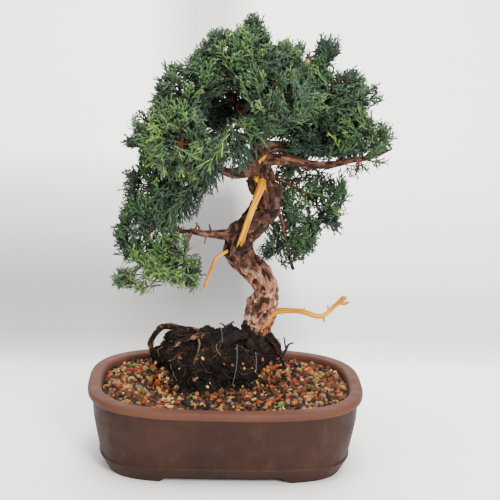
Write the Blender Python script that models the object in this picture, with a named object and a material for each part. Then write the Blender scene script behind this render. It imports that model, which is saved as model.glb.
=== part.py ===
"""A juniper bonsai in a shallow stoneware pot.

Lengths are in millimetres until a mesh is made, which is in metres. +X is right, +Y is back and
+Z is up, and the pot's front faces -Y. Places are measured from the middle of the pot's underside,
and PLANT_SHIFT then puts the origin under the middle of the whole plant.
"""

import math
import random

import bmesh
import bpy
import numpy as np
from mathutils import Vector, noise
from mathutils.geometry import delaunay_2d_cdt

MM = 0.001
CLEAR = 0.3  # the gap kept between pieces that touch
PLANT_SHIFT = Vector((-8.0, -0.7, 0.0))

# The pot: its plan is a superellipse that grows squarer towards the base.
POT_LENGTH = 211.3
POT_DEPTH = 150.0
POT_HEIGHT = 60.8
POT_POINTS = 36
RIM_SQUARENESS = 2.9
BASE_SQUARENESS = 3.95
LIP_HEIGHT = 6.0
LIP_OVERHANG = 3.6
RIM_WIDTH = 10.8
RIM_ROUND = 1.0
BASE_INSET = 15.5
BAND_HEIGHT = 13.2
BAND_PROUD = 0.8
FLOOR_TOP = 11.5
WALL_BATTER = 4.5  # how much the inside narrows down to the fillet at its floor
FLOOR_FILLET = 6.0
BAND_INSET = 9.3  # where the side wall leaves the foot band
BELLY = ((7.6, 26.0), (4.6, 40.0))  # inset and level up the side wall
FOOT_HEIGHT = 5.5
FOOT_WIDTH = 9.0
FRONT_CUTOUT = 84.0
SIDE_CUTOUT = 52.0
CUTOUT_SLOPE = 7.0
DRAIN_RADIUS = 6.0
DRAIN_SPACING = 92.0
DRAIN_SIDES = 12
UNDER = -2.0  # how far below the pot its cutters start

# The soil, which is level at the wall and under the mound and lumpy with grit between.
SOIL_TOP = 55.5
GRIT_SPACING = 11.0  # from a lump of grit to the hollow beside it
GRIT_RISE = (0.6, 2.6)  # how far hollows and lumps stand above the level
GRIT_JITTER = 2.0
GRIT_MARGIN = 4.0  # the level strip at the wall and round the mound

# The root mound that stands on the soil.
MOUND_CENTRE = (-2.0, 16.0)
MOUND_HALF = (50.0, 36.0)
MOUND_TURN = math.radians(22)
MOUND_TOP_LEFT = 97.0
MOUND_FALL = 0.14  # how much lower its top is for each millimetre to the right
MOUND_LUMP = 5.0
MOUND_LUMP_SIZE = 15.0
MOUND_SIDES = 24
MOUND_RINGS = 7
MOUND_BLUNTNESS = 0.42  # the power that makes its sides steep and its top broad

# A station on a limb is x, y, z and the radius there.
TRUNK = (
    (28.2, 16.0, 82.0, 15.5),
    (25.2, 14.5, 92.0, 12.6),
    (26.6, 12.5, 105.0, 12.4),
    (27.0, 9.0, 118.0, 10.9),
    (29.3, 7.0, 127.5, 9.9),
    (27.6, 4.5, 137.5, 9.4),
    (21.5, 2.5, 147.0, 9.4),
    (11.8, 1.2, 155.5, 9.6),
    (7.0, 1.0, 165.0, 10.4),
    (9.0, 1.0, 175.0, 10.4),
    (17.5, 2.6, 184.3, 9.9),
    (25.5, 4.0, 194.3, 10.4),
    (27.5, 4.0, 205.0, 10.8),
    (23.4, 4.0, 217.5, 9.6),
    (20.0, 4.0, 228.0, 8.6),
    (20.6, 3.0, 239.5, 7.2),
    (18.2, 2.0, 250.0, 4.7),
    (10.0, 0.8, 262.5, 3.1),
    (0.0, 0.0, 279.0, 2.5),
    (-6.5, -1.0, 287.5, 2.1),
    (-9.0, -1.0, 297.0, 1.7),
    (-5.5, -1.0, 307.0, 1.3),
)
ROUTE_FINENESS = 20  # points worked out between two stations
TRUNK_SIDES = 12
TRUNK_STEP = 7.2
TRUNK_BARK = 0.11  # the relief of the bark as a share of the radius
BARK_SIZE = 9.0

# name: (what it is seated on, its stations from foot to tip)
ROOTS = {
    "root_front": (
        ("trunk",),
        ((24, 16, 92, 7.0), (10, 5.0, 95.0, 4.6), (0.5, -2.5, 92.2, 3.4), (-9, -8.5, 88.6, 3.0),
         (-19.5, -13.5, 84.5, 2.7), (-23.5, -18.5, 76.0, 2.3), (-24.5, -21.5, 66.0, 1.7)),
    ),
    "root_right": (
        ("trunk",),
        ((29, 15, 93, 6.0), (36.5, 8.0, 89.8, 3.0), (41.0, 12.0, 81.8, 2.5), (44.0, 15.0, 71.5, 2.1),
         (45.5, 17.5, 62.0, 1.7)),
    ),
    "root_left_arch": (
        (),
        ((-22, 8, 95.5, 2.7), (-37.5, 12, 97.2, 2.5), (-47.0, 14, 98.0, 2.4), (-54.5, 14, 92.8, 2.3),
         (-58.6, 14, 84.0, 2.2), (-57.0, 14, 75.5, 2.1), (-50.0, 14, 69.0, 1.8)),
    ),
    "root_left_thin": (
        (),
        ((-13, -1, 96.5, 2.2), (-22.5, -5.0, 96.6, 1.9), (-33.5, -6.5, 93.2, 1.8), (-44.5, -5.0, 85.0, 1.6),
         (-49.0, -2.0, 75.0, 1.2)),
    ),
}

BOUGHS = {
    "bough_left": (
        ("trunk",),
        ((10, 0, 174.0, 5.4), (-6, -2.5, 176.4, 3.6), (-18, -6.5, 177.9, 2.6), (-29.6, -10, 180.5, 1.9)),
    ),
    "bough_left_out": (
        ("bough_left",),
        ((-27.5, -9.4, 180.1, 1.5), (-40, -10, 180.6, 1.5), (-50, -8, 186.0, 1.1)),
    ),
    "bough_left_down": (
        ("bough_left", "bough_left_out"),
        ((-28.3, -9.6, 180.0, 1.5), (-31.5, -12.8, 172.5, 1.4), (-33.5, -16, 160.0, 1.1)),
    ),
    "bough_left_up": (
        ("bough_left_out",),
        ((-44.5, -9.4, 182.6, 1.2), (-51, -8.0, 192.5, 1.3), (-56, -6, 203.0, 1.0)),
    ),
    "bough_low_left": (
        ("bough_left_out",),
        ((-40, -10, 180.6, 1.3), (-47, -12.5, 171.0, 1.4), (-56.5, -15, 158.5, 1.0)),
    ),
    "bough_upper_left": (
        ("trunk",),
        ((20, 4, 229.0, 7.0), (4, -2.6, 223.4, 4.2), (-7, -8, 227.3, 3.0), (-16, -13, 237.0, 2.4),
         (-27.5, -26, 248.5, 1.6)),
    ),
    "bough_left_mid": (
        ("bough_upper_left",),
        ((-13, -11, 233.0, 2.0), (-30, -7, 241.0, 1.9), (-46, -3, 250.0, 1.3)),
    ),
    "bough_thick_right": (
        ("trunk",),
        ((20, 3, 241.5, 6.0), (33, 9, 242.0, 4.6), (47, 15.5, 241.6, 4.0), (59.5, 21.5, 242.6, 2.8)),
    ),
    "bough_up_right": (
        ("bough_thick_right",),
        ((56, 20, 242.0, 2.0), (63, 20, 250.5, 1.9), (72, 16.5, 261.0, 1.6), (82, 10, 275.0, 1.3),
         (86.5, 4, 284.0, 1.0)),
    ),
    "bough_right_back": (
        ("bough_thick_right", "bough_up_right"),
        ((57, 20.5, 242.3, 2.0), (66, 31, 247.0, 2.0), (70, 42, 256.0, 1.3)),
    ),
    "bough_long_right": (
        ("trunk", "bough_thick_right"),
        ((20, 4, 233.5, 6.0), (43.5, 0, 233.8, 3.4), (58.5, -4, 231.8, 3.1), (71, -7, 232.0, 2.9),
         (88.5, -10, 236.6, 2.3), (102, -11, 239.4, 1.9), (114.5, -12, 245.3, 1.4)),
    ),
    "bough_hanging": (
        ("trunk",),
        ((28, 5, 201.0, 3.0), (37.5, 15, 189.5, 1.8), (42.8, 20.5, 173.5, 1.6), (47.0, 24, 155.5, 1.5),
         (50.9, 25, 142.6, 1.4)),
    ),
    "bough_hanging_out": (
        ("trunk",),
        ((23, 5, 222.0, 3.0), (38.5, 20, 214.0, 1.6), (54, 28, 205.4, 1.3), (65, 33, 199.0, 1.0)),
    ),
    "bough_top_right": (
        ("trunk",),
        ((14, 1, 257.0, 2.4), (27.5, 2, 269.0, 2.1), (41, 0, 279.0, 1.8), (51, -3, 290.5, 1.5),
         (59, -3, 298.0, 1.2), (66.5, -3, 303.5, 0.9)),
    ),
    "stub_top": (
        ("bough_top_right",),
        ((50.5, -2.8, 290.0, 1.3), (51.3, -7.0, 298.0, 1.7), (53.0, -10.0, 309.0, 1.5)),
    ),
    "bough_apex": (
        ("trunk",),
        ((0.5, 0, 278.5, 1.6), (9, 6, 293.0, 1.5), (13.5, 2, 315.0, 1.0)),
    ),
    "bough_top_front": (
        ("trunk",),
        ((6, 0.4, 268.5, 1.8), (16, -10, 281.0, 1.6), (22, -15, 297.0, 1.0)),
    ),
    "bough_top_left": (
        ("trunk",),
        ((-1.5, -0.2, 281.0, 1.8), (-15, -5, 285.5, 1.6), (-27, -8.5, 288.0, 1.0)),
    ),
    "bough_front": (
        ("trunk",),
        ((20, 2.5, 242.5, 3.4), (23, -13, 252.0, 2.5), (28.5, -28, 270.0, 1.4)),
    ),
    "bough_back": (
        ("trunk",),
        ((20, 4, 236.5, 4.0), (16.5, 24, 246.0, 2.8), (13, 39, 263.0, 1.6)),
    ),
    "bough_back_left": (
        ("bough_back",),
        ((16.5, 23, 245.6, 2.2), (-2, 37, 247.0, 2.0), (-17, 46, 251.0, 1.3)),
    ),
}

# Stripped deadwood, pale where its ends are cut.
DEADWOOD = {
    "deadwood_front": (
        ("trunk",),
        ((23.5, -1, 219.0, 3.4), (22.4, -10.5, 215.5, 3.3), (18.6, -14.5, 206.2, 2.9),
         (14.4, -16, 195.0, 2.6), (11.0, -16.5, 183.8, 2.6), (7.6, -16.5, 172.3, 2.3)),
    ),
    "deadwood_right": (
        ("trunk",),
        ((30, 9, 111.0, 3.6), (41, 5, 115.0, 2.5), (55.7, 1, 116.2, 2.3), (71.5, -3, 113.6, 2.1),
         (81.5, -5, 122.5, 1.9), (88.4, -6, 129.8, 2.1)),
    ),
    "deadwood_left": (
        ("trunk",),
        ((5, -1, 166.0, 1.9), (-8.6, -6, 160.0, 1.5), (-12.6, -8.5, 152.0, 1.5), (-18.3, -11, 137.1, 1.3)),
    ),
}

# Twisted black wire that ties the roots down.
WIRES = {
    "tie_wire_right": (
        ("root_right",),
        ((53.0, 15.0, 86.0, 0.7), (49.3, 15.5, 84.3, 0.8), (47.2, 16.5, 79.5, 1.1), (44.3, 16.6, 73.0, 0.9)),
    ),
    "tie_wire_top": (
        (),
        ((5.8, 11.0, 104.0, 0.7), (2.5, 11.2, 101.5, 0.8), (-0.6, 11.6, 98.0, 1.0), (-1.8, 12.2, 83.0, 0.9)),
    ),
}

# The step between the rings of each kind of limb, and its relief as a share of the radius.
LIMB_KINDS = ((ROOTS, 7.0, 0.1), (BOUGHS, 8.0, 0.08), (DEADWOOD, 8.0, 0.06), (WIRES, 4.0, 0.0))

# name: (centre, half size, limb it grows from, how far along that limb, lift, whether it is dense)
MASSES = {
    "foliage_apex": ((14, 0, 326.0), (13, 14, 14.2), "bough_apex", 1.0, 0.9, True),
    "foliage_top_left": ((-9, -8, 310), (25, 26, 20), "trunk", 1.0, 0.5, True),
    "foliage_top_front": ((22, -17, 305), (24, 24, 20), "bough_top_front", 1.0, 0.5, True),
    "foliage_top_right": ((46, 6, 305), (19, 24, 18), "bough_top_right", 0.72, 0.5, True),
    "foliage_fan": ((67, -3, 316), (11, 8, 11), "bough_top_right", 1.0, 1.2, False),
    "foliage_right_upper": ((72, -8, 286), (22, 25, 19), "bough_up_right", 0.97, 0.4, True),
    "foliage_right_outer": ((93, 4, 281), (17, 21, 17), "bough_up_right", 1.0, 0.3, True),
    "foliage_far_right": ((102, -10, 256), (20, 21, 17), "bough_long_right", 1.0, 0.3, True),
    "foliage_right_mid": ((70, 8, 259), (24, 26, 18), "bough_up_right", 0.45, 0.1, True),
    "foliage_front_right": ((30, -38, 281), (27, 26, 22), "bough_front", 1.0, 0.3, True),
    "foliage_left_upper": ((-34, -10, 286), (25, 28, 22), "bough_top_left", 1.0, 0.4, True),
    "foliage_left_mid": ((-56, -2, 254), (24, 28, 20), "bough_left_mid", 1.0, 0.1, True),
    "foliage_front_left": ((-37, -42, 252), (24, 24, 24), "bough_upper_left", 1.0, 0.0, True),
    "foliage_front_low": ((-1, -32, 254), (17, 17, 20), "trunk", 0.80, -0.6, False),
    "foliage_column_upper": ((-58, -4, 212), (22, 26, 21), "bough_left_up", 1.0, 0.1, True),
    "foliage_column_inner": ((-33, -13, 213), (19, 17, 18), "bough_upper_left", 0.52, -0.8, False),
    "foliage_column_lower": ((-62, -2, 177), (24, 24, 21), "bough_left_out", 1.0, 0.0, True),
    "foliage_lowest_left": ((-63, -16, 147), (21, 21, 18), "bough_low_left", 1.0, -0.1, True),
    "foliage_lowest_right": ((-35, -18, 156), (19, 20, 23), "bough_left_down", 1.0, -0.1, True),
    "foliage_hanging_upper": ((63, 34, 214), (26, 17, 14), "bough_hanging_out", 0.62, 0.1, True),
    "foliage_hanging_mid": ((69, 32, 187), (23, 20, 19), "bough_hanging_out", 1.0, 0.0, True),
    "foliage_hanging_low": ((44, 31, 162), (22, 17, 20), "bough_hanging", 0.78, -0.1, False),
    "foliage_back_top": ((14, 44, 284), (33, 27, 27), "bough_back", 1.0, 0.4, True),
    "foliage_back_left": ((-30, 47, 255), (31, 27, 27), "bough_back_left", 1.0, 0.1, True),
    "foliage_back_right": ((62, 48, 262), (33, 27, 25), "bough_right_back", 1.0, 0.1, True),
}
SEED = 41
TRIES = 6  # a mass whose pieces don't fuse into one closed body is grown again
MEETING = 1.7  # how readily masses that meet fill the space between them
BORDER = 0.04  # how much nearer its own centre than any other a spray stays, in half sizes
TWIGS = 4  # in an open mass
SPRAYS_ON_TWIG = 2
SPRAYS_OPEN = 8
SPRAYS_DENSE = 19
SPRAY_LENGTH = (16.0, 24.0)
SPRAY_WIDTH = 0.58  # of its length
SPRAY_THICKNESS = 1.5
CORE_LEAST = 0.16
CORE_MOST = 1.6
CORE_STEP = 0.04
CORE_TESTS = 160  # directions in which its room is measured
CORE_NEIGHBOURS = 0.88  # the cosine within which a direction's room holds back a point
CORE_LUMPS = 0.25
LUMP_SIZE = 1.7
SPRAY_SUNK = 4.0  # how deep its foot is in the core
SHORTEST_SPRAY = 0.5
SPRAY_LEAN = 0.9
SPRAY_TRIES = 10
SPRAY_SHRINK = 0.12
SPRAY_OUTLINE = ((0.0, 0.0), (0.46, 0.5), (0.2, 0.6), (0.34, 0.84), (0.0, 1.0), (-0.2, 0.66), (-0.5, 0.58))
SPRAY_GAP = 0.9  # between a spray and the limbs
CORE_GAP = 1.2
STEM_RADIUS = 1.1
STEM_SEAT = 1.05  # where its foot meets a limb's side, in the limb's radii
STEM_START = 3.0  # how far it keeps to its limb's direction
TWIG_RADIUS = 0.8
TWIG_REACHES = (0.58, 0.46, 0.34)  # in half sizes, the first that has room
CORE_SIZE = 0.9
REACH = 1.12  # how far a spray's tip may go, in half sizes
GOLDEN = math.pi * (3.0 - math.sqrt(5.0))

COLOURS = {  # red, green, blue, roughness
    "pot": (0.245, 0.095, 0.062, 0.72),
    "soil": (0.42, 0.27, 0.16, 0.9),
    "mound": (0.035, 0.024, 0.018, 0.95),
    "root": (0.11, 0.07, 0.045, 0.85),
    "bark": (0.21, 0.115, 0.08, 0.85),
    "bough": (0.17, 0.085, 0.055, 0.8),
    "deadwood": (0.72, 0.36, 0.12, 0.6),
    "wire": (0.02, 0.02, 0.02, 0.5),
    "foliage": (0.07, 0.16, 0.07, 0.6),
}


# ---------------------------------------------------------------- meshes and objects


def clear_scene():
    for item in list(bpy.data.objects):
        bpy.data.objects.remove(item, do_unlink=True)


def body_from_rings(rings):
    """Rings of the same number of points, joined in turn, with a flat face over each end."""
    made = bmesh.new()
    rows = [[made.verts.new(Vector(point) * MM) for point in ring] for ring in rings]
    count = len(rows[0])
    for low, high in zip(rows, rows[1:]):
        for i in range(count):
            j = (i + 1) % count
            made.faces.new((low[i], low[j], high[j]))
            made.faces.new((low[i], high[j], high[i]))
    made.faces.new(list(reversed(rows[0])))
    made.faces.new(rows[-1])
    bmesh.ops.recalc_face_normals(made, faces=made.faces)
    return made


def object_from(name, made):
    mesh = bpy.data.meshes.new(name)
    made.to_mesh(mesh)
    made.free()
    item = bpy.data.objects.new(name, mesh)
    bpy.context.scene.collection.objects.link(item)
    return item


def finish(item, colour, parent, smooth=40.0):
    """Gives an object its own material and smooth shading, and hangs it on the plant's empty."""
    red, green, blue, rough = COLOURS[colour]
    material = bpy.data.materials.new(item.name + "_finish")
    material.use_nodes = True
    shader = material.node_tree.nodes["Principled BSDF"]
    shader.inputs["Base Color"].default_value = (red, green, blue, 1.0)
    shader.inputs["Roughness"].default_value = rough
    shader.inputs["Metallic"].default_value = 0.0
    item.data.materials.clear()
    item.data.materials.append(material)
    item.data.shade_smooth()
    item.data.set_sharp_from_angle(angle=math.radians(smooth))
    item.parent = parent


def apply_modifiers(item):
    bpy.context.view_layer.update()
    graph = bpy.context.evaluated_depsgraph_get()
    mesh = bpy.data.meshes.new_from_object(item.evaluated_get(graph))
    item.modifiers.clear()
    item.data = mesh


def carve(item, cutter):
    """Cuts one object by another, which is then removed."""
    cutter.hide_render = True
    cutter.display_type = "WIRE"
    cut = item.modifiers.new("carve", "BOOLEAN")
    cut.operation = "DIFFERENCE"
    cut.solver = "EXACT"
    cut.object = cutter
    apply_modifiers(item)
    bpy.data.objects.remove(cutter, do_unlink=True)
    keep_largest(item)


def shells(made):
    """The faces of each separate shell."""
    left = set(made.faces)
    found = []
    while left:
        start = left.pop()
        shell = [start]
        edge_of = [start]
        while edge_of:
            face = edge_of.pop()
            for edge in face.edges:
                for other in edge.link_faces:
                    if other in left:
                        left.remove(other)
                        shell.append(other)
                        edge_of.append(other)
        found.append(shell)
    return found


def keep_largest(item):
    """Drops loose scraps and fills sealed hollows by keeping only the largest shell."""
    made = bmesh.new()
    made.from_mesh(item.data)
    bmesh.ops.remove_doubles(made, verts=made.verts, dist=2e-6)
    bmesh.ops.dissolve_degenerate(made, edges=made.edges, dist=2e-6)
    found = shells(made)
    found.sort(key=lambda shell: sum(face.calc_area() for face in shell), reverse=True)
    for shell in found[1:]:
        bmesh.ops.delete(made, geom=shell, context="FACES")
    bmesh.ops.delete(made, geom=[v for v in made.verts if not v.link_faces], context="VERTS")
    made.to_mesh(item.data)
    made.free()


def is_closed(item):
    made = bmesh.new()
    made.from_mesh(item.data)
    sound = all(edge.is_manifold and edge.is_contiguous for edge in made.edges)
    sound = sound and made.calc_volume(signed=True) > 0 and all(v.is_manifold for v in made.verts)
    made.free()
    return sound


# ---------------------------------------------------------------- pot and soil


def pot_ring(inset, z):
    """One level of the pot, inset from the rim's outer edge."""
    half_x = POT_LENGTH / 2 - inset
    half_y = POT_DEPTH / 2 - inset
    rise = min(1.0, max(0.0, z / POT_HEIGHT))
    power = 2.0 / (BASE_SQUARENESS + (RIM_SQUARENESS - BASE_SQUARENESS) * rise)
    ring = []
    for i in range(POT_POINTS):
        turn = 2 * math.pi * (i + 0.5) / POT_POINTS
        cosine = math.cos(turn)
        sine = math.sin(turn)
        x = half_x * math.copysign(abs(cosine) ** power, cosine)
        y = half_y * math.copysign(abs(sine) ** power, sine)
        ring.append((x, y, z))
    return ring


def inner_profile():
    """Inset and level down the inside of the wall, to the edge of the floor."""
    wall_foot = RIM_WIDTH + WALL_BATTER
    return (
        (RIM_WIDTH, POT_HEIGHT - RIM_ROUND * 3),
        (wall_foot, FLOOR_TOP + FLOOR_FILLET),
        (wall_foot + FLOOR_FILLET, FLOOR_TOP),
    )


def pot_rings():
    lip_foot = POT_HEIGHT - LIP_HEIGHT
    foot_band = (
        (BASE_INSET, 0.0),
        (BAND_INSET, BAND_HEIGHT - BAND_PROUD * 0.75),
        (BAND_INSET + BAND_PROUD, BAND_HEIGHT),
    )
    lip = (
        (LIP_OVERHANG, lip_foot),
        (LIP_OVERHANG * 0.25, lip_foot + RIM_ROUND * 0.5),
        (0.0, lip_foot + LIP_HEIGHT * 0.45),
        (RIM_ROUND * 0.7, POT_HEIGHT - RIM_ROUND),
        (RIM_ROUND * 2.6, POT_HEIGHT),
        (RIM_WIDTH - RIM_ROUND * 2.2, POT_HEIGHT),
        (RIM_WIDTH - RIM_ROUND * 0.5, POT_HEIGHT - RIM_ROUND),
    )
    return [pot_ring(inset, z) for inset, z in foot_band + BELLY + lip + inner_profile()]


def foot_cutters():
    """The recess under the pot, and the cut-outs that leave a foot at each corner."""
    inset = BASE_INSET + FOOT_WIDTH
    recess = body_from_rings([pot_ring(inset, UNDER), pot_ring(inset, FOOT_HEIGHT)])
    yield object_from("recess", recess)
    for along_x, span in ((True, FRONT_CUTOUT), (False, SIDE_CUTOUT)):
        reach = (POT_DEPTH if along_x else POT_LENGTH) / 2
        low = span / 2 + CUTOUT_SLOPE * (1 - UNDER / FOOT_HEIGHT)
        high = span / 2
        rings = []
        for side in (-1, 1):
            outline = ((-low, UNDER), (low, UNDER), (high, FOOT_HEIGHT), (-high, FOOT_HEIGHT))
            if along_x:
                rings.append([(a, side * reach, z) for a, z in outline])
            else:
                rings.append([(side * reach, a, z) for a, z in outline])
        yield object_from("cutout", body_from_rings(rings))
    for side in (-1, 1):
        rings = []
        centre = side * DRAIN_SPACING / 2
        for z in (UNDER, FLOOR_TOP - UNDER):
            ring = []
            for i in range(DRAIN_SIDES):
                turn = 2 * math.pi * i / DRAIN_SIDES
                ring.append((centre + DRAIN_RADIUS * math.cos(turn), DRAIN_RADIUS * math.sin(turn), z))
            rings.append(ring)
        yield object_from("drain", body_from_rings(rings))


def make_pot(parent):
    pot = object_from("pot", body_from_rings(pot_rings()))
    for cutter in foot_cutters():
        carve(pot, cutter)
    finish(pot, "pot", parent, smooth=35.0)


def on_mound(x, y):
    """Whether a place is on the mound's foot or close to it."""
    out = Vector((x - MOUND_CENTRE[0], y - MOUND_CENTRE[1]))
    along = out.x * math.cos(MOUND_TURN) + out.y * math.sin(MOUND_TURN)
    across = out.y * math.cos(MOUND_TURN) - out.x * math.sin(MOUND_TURN)
    foot = mound_point(math.atan2(across / MOUND_HALF[1], along / MOUND_HALF[0]), 0.0)
    return out.length < (foot.xy - Vector(MOUND_CENTRE)).length + GRIT_MARGIN


def grit_points(inset):
    """Lumps and hollows by turns over the soil."""
    rng = random.Random(SEED)
    half_x = POT_LENGTH / 2 - inset
    half_y = POT_DEPTH / 2 - inset
    points = []
    for i in range(-int(half_x // GRIT_SPACING), int(half_x // GRIT_SPACING) + 1):
        for j in range(-int(half_y // GRIT_SPACING), int(half_y // GRIT_SPACING) + 1):
            x = i * GRIT_SPACING + rng.uniform(-GRIT_JITTER, GRIT_JITTER)
            y = j * GRIT_SPACING + rng.uniform(-GRIT_JITTER, GRIT_JITTER)
            in_pot = abs(x / half_x) ** RIM_SQUARENESS + abs(y / half_y) ** RIM_SQUARENESS < 1
            if in_pot and not on_mound(x, y):
                points.append(Vector((x, y, SOIL_TOP + GRIT_RISE[(i + j) % 2])))
    return points


def grit_edge():
    """The level ring round the mound's foot, where the lumps start."""
    ring = []
    for i in range(MOUND_SIDES):
        foot = mound_point(2 * math.pi * i / MOUND_SIDES, 0.0).xy
        foot += (foot - Vector(MOUND_CENTRE)).normalized() * (GRIT_MARGIN / 2)
        ring.append(Vector((foot.x, foot.y, SOIL_TOP)))
    return ring


def lay_grit(made, ring, points):
    """Puts a lumpy surface through the ring and the points in place of the soil's flat top."""
    top = max(made.faces, key=lambda face: face.calc_center_median().z)
    rim = list(top.verts)
    made.faces.remove(top)
    verts = rim + [made.verts.new(point * MM) for point in ring + points]
    edges = [(i, (i + 1) % len(rim)) for i in range(len(rim))]
    edges += [(len(rim) + i, len(rim) + (i + 1) % len(ring)) for i in range(len(ring))]
    places = [vert.co.xy / MM for vert in verts]
    _, _, faces, sources, _, _ = delaunay_2d_cdt(places, edges, [], 1, 1e-4)
    for face in faces:
        made.faces.new([verts[sources[i][0]] for i in face])
    bmesh.ops.recalc_face_normals(made, faces=made.faces)


def make_soil(parent):
    """Fills the pot to just under the rim, clear of its wall and floor."""
    levels = [(inset + CLEAR, z + CLEAR) for inset, z in inner_profile()[1:]]
    (high_inset, high_z), (low_inset, low_z) = inner_profile()[:2]
    share = (high_z - SOIL_TOP) / (high_z - low_z)
    levels.insert(0, (high_inset + (low_inset - high_inset) * share + CLEAR, SOIL_TOP))
    levels[-1] = (levels[-1][0] + CLEAR, levels[-1][1])
    made = body_from_rings([pot_ring(inset, z) for inset, z in levels])
    lay_grit(made, grit_edge(), grit_points(levels[0][0] + GRIT_MARGIN))
    finish(object_from("soil", made), "soil", parent)


# ---------------------------------------------------------------- limbs


def smooth_route(stations, step):
    """Points at even steps on a smooth curve through the stations, each with its radius."""
    nodes = [np.array(station, float) for station in stations]
    nodes = [2 * nodes[0] - nodes[1]] + nodes + [2 * nodes[-1] - nodes[-2]]
    fine = []
    for a, b, c, d in zip(nodes, nodes[1:], nodes[2:], nodes[3:]):
        for k in range(ROUTE_FINENESS):
            t = k / ROUTE_FINENESS
            fine.append(0.5 * (2 * b + (c - a) * t + (2 * a - 5 * b + 4 * c - d) * t * t
                               + (3 * b - a - 3 * c + d) * t ** 3))
    fine.append(nodes[-2])
    fine = np.array(fine)
    gone = np.concatenate([[0.0], np.cumsum(np.linalg.norm(np.diff(fine[:, :3], axis=0), axis=1))])
    count = max(3, round(gone[-1] / step) + 1)
    where = np.linspace(0.0, gone[-1], count)
    return np.stack([np.interp(where, gone, fine[:, k]) for k in range(4)], axis=1)


def limb_rings(stations, sides, step, bark, grow=0.0):
    """Rings square to the route that don't twist; bark raises and sinks their points."""
    route = smooth_route(stations, step)
    points = [Vector(row[:3]) for row in route]
    tangents = []
    for i in range(len(points)):
        before = points[max(0, i - 1)]
        after = points[min(len(points) - 1, i + 1)]
        tangents.append((after - before).normalized())
    side = tangents[0].orthogonal().normalized()
    rings = []
    for i, (point, tangent) in enumerate(zip(points, tangents)):
        side = (side - tangent * side.dot(tangent)).normalized()
        other = tangent.cross(side)
        radius = route[i][3]
        middle = point
        if i == 0:
            middle = point - tangent * grow
        if i == len(points) - 1:
            middle = point + tangent * grow
        ring = []
        for k in range(sides):
            turn = 2 * math.pi * k / sides
            out = side * math.cos(turn) + other * math.sin(turn)
            rough = noise.noise((point + out * radius) / BARK_SIZE)
            ring.append(middle + out * (radius * (1 + bark * 2.0 * rough) + grow))
        rings.append(ring)
    return rings


def sides_for(stations):
    widest = max(station[3] for station in stations[1:])
    if widest < 1.2:
        return 5
    return 6 if widest < 2.3 else 8


def limb_shape(name):
    """The stations of a limb, and how finely and roughly it is made."""
    if name == "trunk":
        return TRUNK, TRUNK_SIDES, TRUNK_STEP, TRUNK_BARK
    for table, step, bark in LIMB_KINDS:
        if name in table:
            stations = table[name][1]
            return stations, sides_for(stations), step, bark
    return None


def limb_body(name, grow=0.0):
    """A limb's solid. The foot of the trunk is cut level."""
    stations, sides, step, bark = limb_shape(name)
    rings = limb_rings(stations, sides, step, bark, grow)
    if name == "trunk":
        foot = TRUNK[0][2] - grow
        rings[0] = [Vector((point.x, point.y, foot)) for point in rings[0]]
    return object_from(name, body_from_rings(rings))


def make_limbs(table, colour, parent):
    for name, (seats, _) in table.items():
        item = limb_body(name)
        for seat in seats:
            carve(item, limb_body(seat, CLEAR))
        item.name = name
        finish(item, colour, parent, smooth=60.0)


def mound_point(turn, rise):
    """A point of the mound at an angle round it and a share of the way up."""
    spread = math.cos(rise * math.pi / 2) ** MOUND_BLUNTNESS
    x = MOUND_HALF[0] * spread * math.cos(turn)
    y = MOUND_HALF[1] * spread * math.sin(turn)
    x, y = (x * math.cos(MOUND_TURN) - y * math.sin(MOUND_TURN),
            x * math.sin(MOUND_TURN) + y * math.cos(MOUND_TURN))
    x += MOUND_CENTRE[0]
    y += MOUND_CENTRE[1]
    foot = SOIL_TOP + CLEAR
    top = MOUND_TOP_LEFT - MOUND_FALL * (x + MOUND_HALF[0])
    z = foot + (top - foot) * math.sin(rise * math.pi / 2)
    point = Vector((x, y, z))
    lump = MOUND_LUMP * noise.noise(point / MOUND_LUMP_SIZE) * 2.0
    out = Vector((x - MOUND_CENTRE[0], y - MOUND_CENTRE[1], 0.0)).normalized()
    point += out * lump * (1 - 0.6 * rise)
    if rise > 0:
        point.z += lump * 0.5 * rise
    return point


def make_mound(parent):
    rises = [(k / MOUND_RINGS) ** 0.8 * 0.985 for k in range(MOUND_RINGS + 1)]
    turns = [2 * math.pi * i / MOUND_SIDES for i in range(MOUND_SIDES)]
    mound = object_from("root_mound", body_from_rings([[mound_point(t, r) for t in turns] for r in rises]))
    for name in ["trunk", *ROOTS, *WIRES]:
        carve(mound, limb_body(name, CLEAR))
    mound.name = "root_mound"
    finish(mound, "mound", parent, smooth=60.0)


# ---------------------------------------------------------------- foliage


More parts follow.
